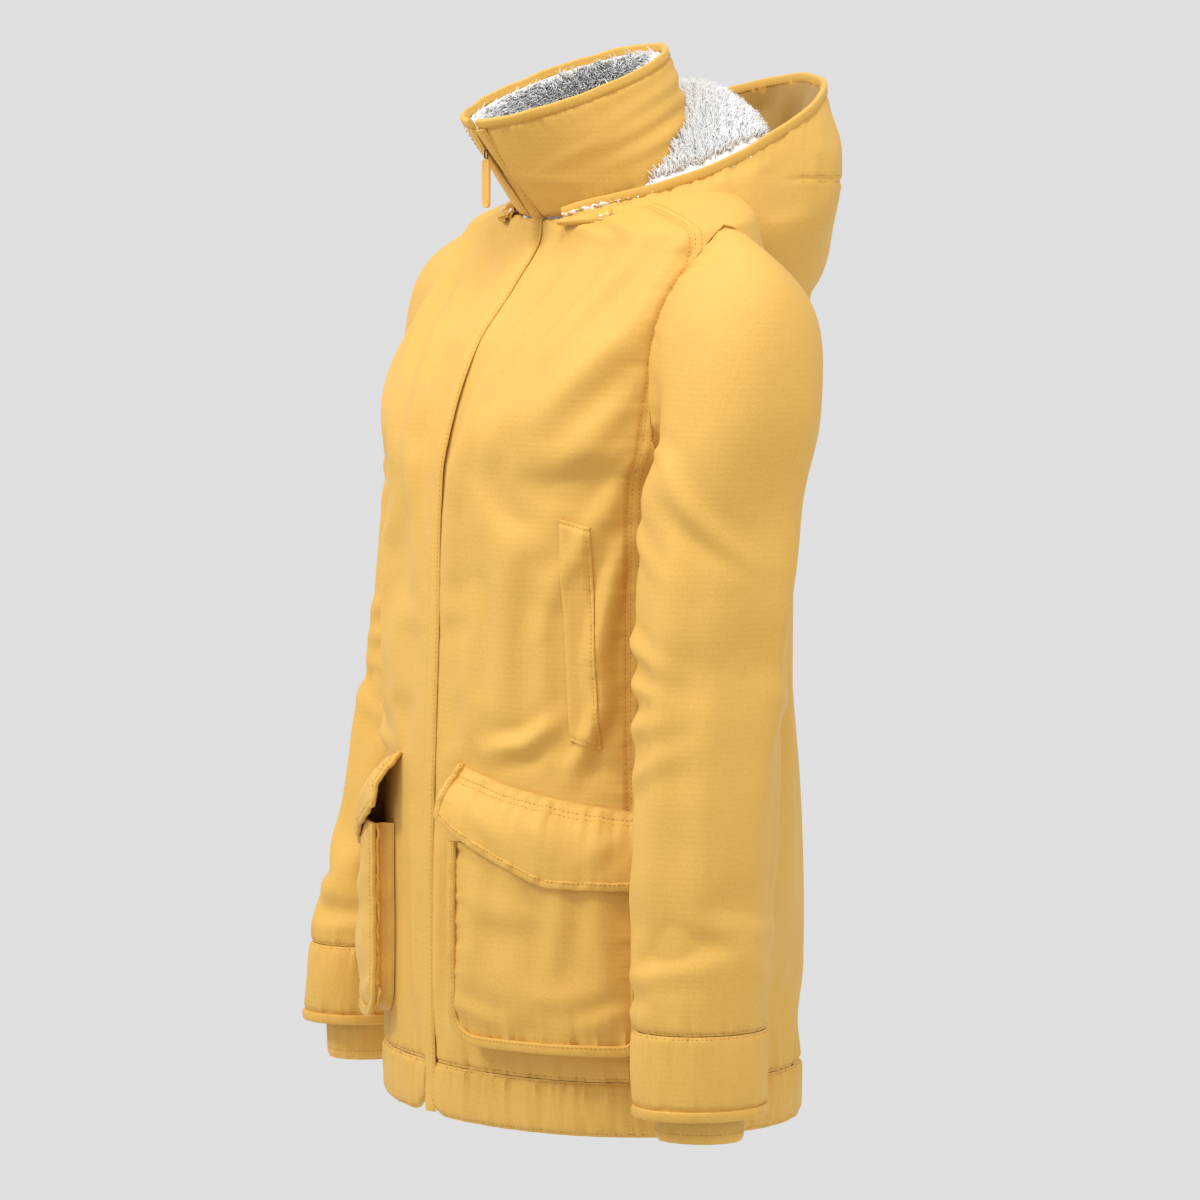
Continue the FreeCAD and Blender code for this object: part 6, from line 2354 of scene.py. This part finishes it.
    @staticmethod
    def level_rows(net: Net, level: float, gap: float) -> List[Line]:
        """Two rows of stitches beside the level seam at the hood's back."""
        rows = []
        for shift in (-gap, gap):
            spots, ways = [], []
            for column in range(net.points.shape[1]):
                line = net.points[:, column]
                if line[:, 1].max() < 118:
                    continue
                rear = line[:, 1] > 105
                want = level + shift + 0.08 * abs(line[-1, 0])
                above = np.nonzero(rear & (line[:, 2] > want))[0]
                if len(above) and above[0] > 0:
                    spots.append(line[above[0]])
                    ways.append(net.normals[above[0], column])
            if len(spots) > 3:
                rows.append((softened(np.array(spots), 4), unit(np.array(ways))))
        return rows

    @staticmethod
    def upright_rows(net: Net) -> List[Line]:
        """Rows of stitches beside the two upright seams of the centre panel."""
        rows = []
        for x in (-50.5, -43.5, 43.5, 50.5):
            spots, ways = [], []
            for row in range(net.points.shape[0]):
                line = net.points[row]
                rear = np.nonzero(line[:, 1] > 128)[0]
                if not len(rear):
                    continue
                pick = rear[np.argmin(np.abs(line[rear, 0] - x))]
                if abs(line[pick, 0] - x) < 3.5:
                    spots.append(line[pick])
                    ways.append(net.normals[row, pick])
            if len(spots) > 6:
                smooth = np.array(spots)
                smooth[:, 0] = x
                rows.append((softened(smooth, 3), unit(np.array(ways))))
        return rows

    def pile_facing(self) -> None:
        """Make the pile-lined part between the collar and the lining seam."""
        count = 150
        neck = self.neck_line(count)
        rim_half = self.RIM[: self.MEETING + 1]
        seam = smooth_line(self.both(list(rim_half) + list(self.SEAM[1:])), count)
        share = np.linspace(0, 1, count)
        rear = np.sin(np.pi * share) ** 2
        lines = []
        for step, rise in ((0.0, 0.0), (0.12, 2.0), (0.35, 5.0), (0.6, 6.0), (0.82, 4.0), (1.0, -2.0)):
            line = neck * (1 - step) + seam * step
            line[:, 2] += rise * (0.25 + 0.9 * rear)
            lines.append(line)
        drop = neck.copy()
        drop[:, 2] -= 14 * rear
        lines.insert(0, drop)
        tuck = seam.copy()
        tuck[:, 2] -= 7.0 * rear
        tuck[:, :2] *= 1 + 0.02 * rear[:, None]
        lines.append(tuck)
        net = loft(lines, 48)
        if net.normals[..., 2].mean() < 0:
            net = loft(lines, 48, turned=True)
        base = net
        p = net.points
        lumps = np.sin(p[..., 0] * 0.33 + 1) * np.sin(p[..., 1] * 0.41) + 0.6 * np.sin(p.sum(-1) * 0.55)
        net = base.moved(lumps * 0.9)
        made = self.shop.sew("hood_fleece", net, base, ("hood_pile_facing",), ("collar_outer",), body="",
                             finish="pile", thickness=2.6, held="folded")
        rim = self.rim_line(80)

        def inside(spots: Array) -> Array:
            """Less pile near the rim, so that its band stays clear."""
            gap = np.linalg.norm(spots[..., None, :] - rim, axis=-1).min(-1)
            return np.clip((gap - 9.0) / 5.0, 0, 1) * np.clip((spots[..., 1] + 8.0) / 12.0, 0, 1)

        tufts = self.shop.tufts("hood_pile", net, 16000, 8.0, 17, (0.0, 0.25, 0.25), inside)
        dress(tufts, "")
        self.hinge(*made, tufts)

    def satin_bowl(self) -> None:
        """Make the satin lining that shows as a bowl behind the pile."""
        count = 150
        seam = smooth_line(self.both(self.SEAM), count)
        rim = smooth_line(self.both(self.RIM[self.MEETING:]), count)
        rim = rim - unit(rim - rim.mean(0)) * 2.0
        share = np.linspace(0, 1, count)
        deep = np.sin(np.pi * share) ** 0.55
        lines = []
        for step, depth in ((0.0, 4.0), (0.08, 22.0), (0.25, 62.0), (0.5, 88.0), (0.75, 74.0), (0.92, 36.0),
                            (1.0, 0.0)):
            out = 0.5 + 0.5 * math.copysign(abs(2 * step - 1) ** 0.8, 2 * step - 1)
            line = seam * (1 - out) + rim * out
            line[:, 2] -= depth * deep
            lines.append(line)
        net = loft(lines, 70)
        if net.normals[35, :, 2].mean() < 0:
            net = loft(lines, 70, turned=True)
        base = net
        p = net.points
        away = net.edge_distance()
        ease = np.clip(np.minimum(away[Edge.TOP], away[Edge.BOTTOM]) / 18, 0, 1)
        lift = 2.1 * np.sin(p[..., 0] / 15.0 + p[..., 2] / 21.0 + 1.2 * np.sin(p[..., 2] / 29.0)) * ease
        lift += 1.2 * np.sin(p[..., 0] / 8.0 - p[..., 2] / 17.0 + 0.7) * ease
        drift = relax(base.moved(lift), 1 - ease, 0.03, 12, 5.0, stiff=0.3, gravity=0.6)
        net = base.moved(lift, drift)
        self.hinge(*self.shop.sew("hood_satin", net, base, ("hood_lining",), ("collar_outer",), body="",
                                  finish="satin", thickness=0.9, held="folded"))

    def rim_band(self) -> None:
        """Make the topstitched band along the opening."""
        path = self.rim_line(300)
        run = unit(np.gradient(path, axis=0))
        centre = np.array([0, 70.0, 745.0])
        out = path - centre
        out[:, 2] = 0
        out = unit(out - run * (out * run).sum(1, keepdims=True))
        up = unit(np.cross(run, out))
        up = np.where(up[:, 2:] < 0, -up, up)
        wave = 0.5 * np.sin(np.arange(300) / 5.7) + 0.4 * np.sin(np.arange(300) / 2.9)
        path = path + up * (1.2 + wave * 0.5)[:, None]
        net = sweep(path, out, up, band_outline(8.4, 5.0), False)
        rows = [(path + out * 2.4 - up * 2.4, out), (path - out * 2.4 - up * 2.4, -out)]
        self.hinge(*self.shop.bind("hood_rim_band", net, "hood_rim_binding", "hood_rim_stitches", rows,
                                   body=""))

    def corners(self) -> None:
        """Make the folded front corners and their domed snaps."""
        nodes = ((96, 14, 722), (88, -4, 717), (76, -22, 712), (60, -38, 706), (44, -51, 701))
        lower = ((101, 6, 708), (93, -14, 704), (80, -32, 700), (63, -46, 697), (46, -55, 696))
        for side in Side:
            flip = np.array([side.value, 1.0, 1.0])
            top, bottom = smooth_line(nodes, 44), smooth_line(lower, 44)
            lines = []
            for step, rise in ((0.0, 0.0), (0.3, 4.2), (0.6, 5.4), (1.0, 1.5), (1.15, -3.0)):
                line = top * (1 - step) + bottom * step
                out = unit(line * np.array([1.0, 1.0, 0]) - np.array([0, 8.0, 0]))
                lines.append(line + out * rise)
            base = loft(lines[::-1], 26)
            if (base.normals * (base.points - np.array([0, 8.0, 700.0]))).sum() < 0:
                base = loft(lines[::-1], 26, turned=True)
            lift = 0.9 * np.sin(np.arange(44) / 3.1)[None, :] * np.sin(np.pi * np.linspace(0, 1, 26))[:, None]
            net = base.moved(lift)
            rows = [net.line(Edge.TOP, 3.0), net.line(Edge.BOTTOM, 3.0)]
            spot, way = net.points[14, 19], net.normals[14, 19]
            self.shop.sew(f"{side.word}_hood_tab", net, base, (f"{side.word}_hood_corner",),
                          ("shoulder_yoke",), f"{side.word}_hood_tab_stitches", rows, side, thickness=2.4,
                          held="folded")
            self.snap(side, spot * flip, way * flip)

    def snap(self, side: Side, spot: Array, way: Array) -> None:
        """Model a domed snap cap: a disc with a stepped flange and a crowned middle.

        Args:
            side: the wearer's side.
            spot: where it sits.
            way: the direction it faces.
        """
        deselect()
        bpy.ops.mesh.primitive_cylinder_add(vertices=40, radius=6.4, depth=1.4, end_fill_type="NGON")
        cap = bpy.context.active_object
        cap.name = f"{side.word}_snap_cap"
        bpy.ops.object.mode_set(mode="EDIT")
        bm = bmesh.from_edit_mesh(cap.data)
        for face in bm.faces:
            face.select_set(face.normal.z > 0.9)
        bmesh.update_edit_mesh(cap.data)
        for inset, rise in ((0.9, 0.0), (0.35, 1.0), (1.1, 0.55), (1.5, 0.3), (1.4, 0.08)):
            bpy.ops.mesh.inset(thickness=inset, depth=0.0)
            bpy.ops.transform.translate(value=(0, 0, rise))
        bpy.ops.object.mode_set(mode="OBJECT")
        bevel = cap.modifiers.new("edge", "BEVEL")
        bevel.width, bevel.segments, bevel.limit_method = 0.22, 2, "ANGLE"
        bpy.ops.object.modifier_apply(modifier="edge")
        turn = Vector((0, 0, 1)).rotation_difference(Vector(way)).to_matrix().to_4x4()
        settle_piece(cap, Matrix.Translation(Vector(spot + way * 0.7)) @ turn)
        cap.data.materials.append(self.shop.finishes.snap)
        cap.data.shade_smooth()
        cap.data.set_sharp_from_angle(angle=math.radians(35))
        nodes = ("hood_corner_snaps",) if side is Side.LEFT else ()
        dress(cap, "coat", nodes)

    @staticmethod
    def hinge(*pieces: bpy.types.Object) -> None:
        """Bake the placement of pieces of the hood into their meshes."""
        for piece in pieces:
            bend_cloth(piece)


def settle_piece(piece: bpy.types.Object, place: Matrix) -> None:
    """Move a shape modelled in millimetres to its place, in its mesh.

    Args:
        piece: the object at the origin.
        place: its place in the coat's frame.
    """
    scale = Matrix.Scale(MM, 4)
    piece.data.transform(Matrix.Translation(Vector(TO_ROW)) @ scale @ place)
    piece.matrix_world = Matrix.Identity(4)
    piece.data.update()


# ------------------------------------------------------------------ hardware
@dataclass
class HardwareSet(Part):
    """The zip slider, its pull tab and the hanger loop."""


    def build(self) -> None:
        """Make the metal and moulded pieces."""
        self.slider()
        self.pull_tab()
        self.hanger_loop()

    @staticmethod
    def front_turn() -> Matrix:
        """The turn from a slider's own axes to the collar's front line."""
        up = Vector((0, -0.59022, 0.80724))
        out = Vector((0, -0.80724, -0.59022))
        side = Vector((1, 0, 0))
        return Matrix((side, out, up)).transposed().to_4x4()

    def slider(self) -> None:
        """Model the slider: a waisted body with a bridge over its face."""
        low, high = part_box("zip_slider")
        middle = (np.array(low + high) / 2 - TO_ROW) / MM
        deselect()
        bpy.ops.mesh.primitive_cube_add(size=1.0)
        body = bpy.context.active_object
        body.name = "slider_body"
        bpy.ops.object.mode_set(mode="EDIT")
        bpy.ops.transform.resize(value=(8.0, 2.2, 9.5))
        bpy.ops.mesh.subdivide(number_cuts=4)
        bm = bmesh.from_edit_mesh(body.data)
        for vert in bm.verts:
            share = vert.co.z / 4.75
            vert.co.x *= 0.84 + 0.2 * share - 0.16 * (1 - share ** 2)
        bmesh.update_edit_mesh(body.data)
        bpy.ops.object.mode_set(mode="OBJECT")
        self.round_off(body, 0.5)
        turn = self.front_turn()
        out = np.array([0, -0.80724, -0.59022])
        settle_piece(body, Matrix.Translation(Vector(middle + out * 0.6)) @ turn)
        deselect()
        bpy.ops.mesh.primitive_torus_add(major_radius=2.6, minor_radius=0.7, major_segments=28,
                                         minor_segments=10, rotation=(0, math.pi / 2, 0))
        bridge = bpy.context.active_object
        bridge.name = "slider_bridge"
        bpy.ops.object.transform_apply(location=False, rotation=True, scale=False)
        bpy.ops.object.mode_set(mode="EDIT")
        bpy.ops.transform.resize(value=(1.5, 0.75, 1.25))
        bpy.ops.object.mode_set(mode="OBJECT")
        settle_piece(bridge, Matrix.Translation(Vector(middle + out * 2.0)) @ turn)
        for piece in (body, bridge):
            piece.data.materials.append(self.shop.finishes.metal)
        dress(body, "zip_slider", ("zip_slider",))
        dress(bridge, "zip_slider")

    def round_off(self, piece: bpy.types.Object, width: float) -> None:
        """Bevel a piece's edges and smooth its shading."""
        bevel = piece.modifiers.new("edge", "BEVEL")
        bevel.width, bevel.segments, bevel.limit_method = width, 3, "ANGLE"
        bevel.angle_limit = math.radians(40)
        bpy.context.view_layer.objects.active = piece
        bpy.ops.object.modifier_apply(modifier="edge")
        piece.data.shade_smooth()
        piece.data.set_sharp_from_angle(angle=math.radians(40))

    def pull_tab(self) -> None:
        """Model the soft pull tab: a rounded strap with a raised border, on a wire loop."""
        low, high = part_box("zip_pull_tab")
        middle = (np.array(low + high) / 2 - TO_ROW) / MM
        length = float((high.z - low.z) / MM)
        deselect()
        bpy.ops.mesh.primitive_cube_add(size=1.0)
        tab = bpy.context.active_object
        tab.name = "pull_tab_strap"
        bpy.ops.object.mode_set(mode="EDIT")
        bpy.ops.transform.resize(value=(11.0, 2.2, 38.0))
        bm = bmesh.from_edit_mesh(tab.data)
        upright = [e for e in bm.edges if abs((e.verts[0].co - e.verts[1].co).normalized().y) > 0.9]
        for edge in bm.edges:
            edge.select_set(edge in upright)
        bmesh.update_edit_mesh(tab.data)
        bpy.ops.mesh.bevel(offset=4.2, segments=6, affect="EDGES")
        bm = bmesh.from_edit_mesh(tab.data)
        for face in bm.faces:
            face.select_set(abs(face.normal.y) > 0.9)
        bmesh.update_edit_mesh(tab.data)
        bpy.ops.mesh.inset(thickness=1.3, depth=0.0, use_individual=True)
        bpy.ops.mesh.inset(thickness=0.4, depth=-0.45, use_individual=True)
        bpy.ops.object.mode_set(mode="OBJECT")
        self.round_off(tab, 0.4)
        up = np.array([0, 0, 1.0])
        settle_piece(tab, Matrix.Translation(Vector(middle - up * 3.5)))
        deselect()
        bpy.ops.mesh.primitive_torus_add(major_radius=3.0, minor_radius=0.55, major_segments=28,
                                         minor_segments=8, rotation=(math.pi / 2, 0, 0))
        ring = bpy.context.active_object
        ring.name = "pull_tab_wire"
        bpy.ops.object.transform_apply(location=False, rotation=True, scale=False)
        bpy.ops.object.mode_set(mode="EDIT")
        bpy.ops.transform.resize(value=(0.85, 1.0, 1.5))
        bpy.ops.object.mode_set(mode="OBJECT")
        settle_piece(ring, Matrix.Translation(Vector(middle + up * (length / 2 - 5.4))))
        tab.data.materials.append(self.shop.finishes.rubber)
        ring.data.materials.append(self.shop.finishes.metal)
        ring.data.shade_smooth()
        dress(tab, "zip_pull", ("zip_pull_tab",))
        dress(ring, "zip_pull")

    def hanger_loop(self) -> None:
        """Give the hanger loop its twill."""
        paint("hanger_loop", self.shop.finishes.tape)


# ------------------------------------------------------------------ studio
@dataclass
class Studio:
    """The floor, the lights and the camera.

    Attributes:
        distance: from the camera to the coat, in metres.
        azimuth: the camera's turn from the front, in degrees.
        elevation: its height angle, in degrees.
        lens: focal length in millimetres on a 36 mm sensor.
    """

    distance: float = 5.5
    azimuth: float = 61.0
    elevation: float = 5.0
    lens: float = 209.0

    def build(self) -> None:
        """Make the floor, the lights, the world and the camera."""
        self.floor()
        self.world()
        self.lamps()
        self.camera()
        bpy.context.scene.view_settings.view_transform = "Standard"

    def floor(self) -> None:
        """Lay a plain pale floor below the hem."""
        deselect()
        bpy.ops.mesh.primitive_circle_add(vertices=96, radius=60.0, fill_type="NGON")
        floor = bpy.context.active_object
        floor.name = "studio_floor"
        floor.data.transform(Matrix.Translation((0, 0, -2.0)))
        material = bpy.data.materials.new("pale_floor")
        material.use_nodes = True
        shader = material.node_tree.nodes["Principled BSDF"]
        shader.inputs["Base Color"].default_value = (1.0, 1.0, 1.0, 1.0)
        shader.inputs["Roughness"].default_value = 1.0
        shader.inputs["Specular IOR Level"].default_value = 0.0
        floor.data.materials.append(material)

    @staticmethod
    def world() -> None:
        """Fill the room with even white light."""
        world = bpy.data.worlds.new("studio_air")
        world.use_nodes = True
        back = world.node_tree.nodes["Background"]
        back.inputs["Color"].default_value = (1.0, 1.0, 1.0, 1.0)
        back.inputs["Strength"].default_value = 0.74
        bpy.context.scene.world = world

    @staticmethod
    def lamps() -> None:
        """Hang a large key light, a fill and a rim light."""
        target = Vector((0, -0.06, -0.33))
        for name, place, size, power in (
            ("key_light", (-0.9, -2.9, 2.2), 0.8, 11.0),
            ("side_light", (3.0, 1.0, 2.2), 1.0, 5.0),
            ("top_light", (1.0, -0.9, 2.2), 0.8, 5.0),
        ):
            data = bpy.data.lights.new(name, "AREA")
            data.size, data.energy, data.spread = size, power, math.radians(70)
            lamp = bpy.data.objects.new(name, data)
            lamp.location = place
            lamp.rotation_euler = (target - Vector(place)).to_track_quat("-Z", "Y").to_euler()
            bpy.context.scene.collection.objects.link(lamp)

    def camera(self) -> None:
        """Place the camera before the wearer's left front."""
        data = bpy.data.cameras.new("camera")
        data.lens, data.sensor_width = self.lens, 36.0
        data.clip_end = 100.0
        camera = bpy.data.objects.new("camera", data)
        turn, rise = math.radians(self.azimuth), math.radians(self.elevation)
        way = Vector((math.sin(turn) * math.cos(rise), -math.cos(turn) * math.cos(rise), math.sin(rise)))
        right = Vector((math.cos(turn), math.sin(turn), 0))
        target = Vector((0, -0.062, -0.3465)) + right * 0.0066
        camera.location = target + way * self.distance
        camera.rotation_euler = (-way).to_track_quat("-Z", "Y").to_euler()
        bpy.context.scene.collection.objects.link(camera)
        bpy.context.scene.camera = camera


def main() -> None:
    """Build the coat piece by piece, then the studio."""
    logging.basicConfig(level=logging.INFO, format="%(name)s %(message)s")
    shop = Workshop(Finishes.make())
    Torso(shop).build()
    CollarPiece(shop).build()
    CentreFront(shop).build()
    for side in Side:
        Sleeve(shop, side).build()
        PatchPocket(shop, side).build()
        HandPocket(shop, side).build()
    Hood(shop).build()
    HardwareSet(shop).build()
    Studio().build()


if __name__ == "__main__":
    main()
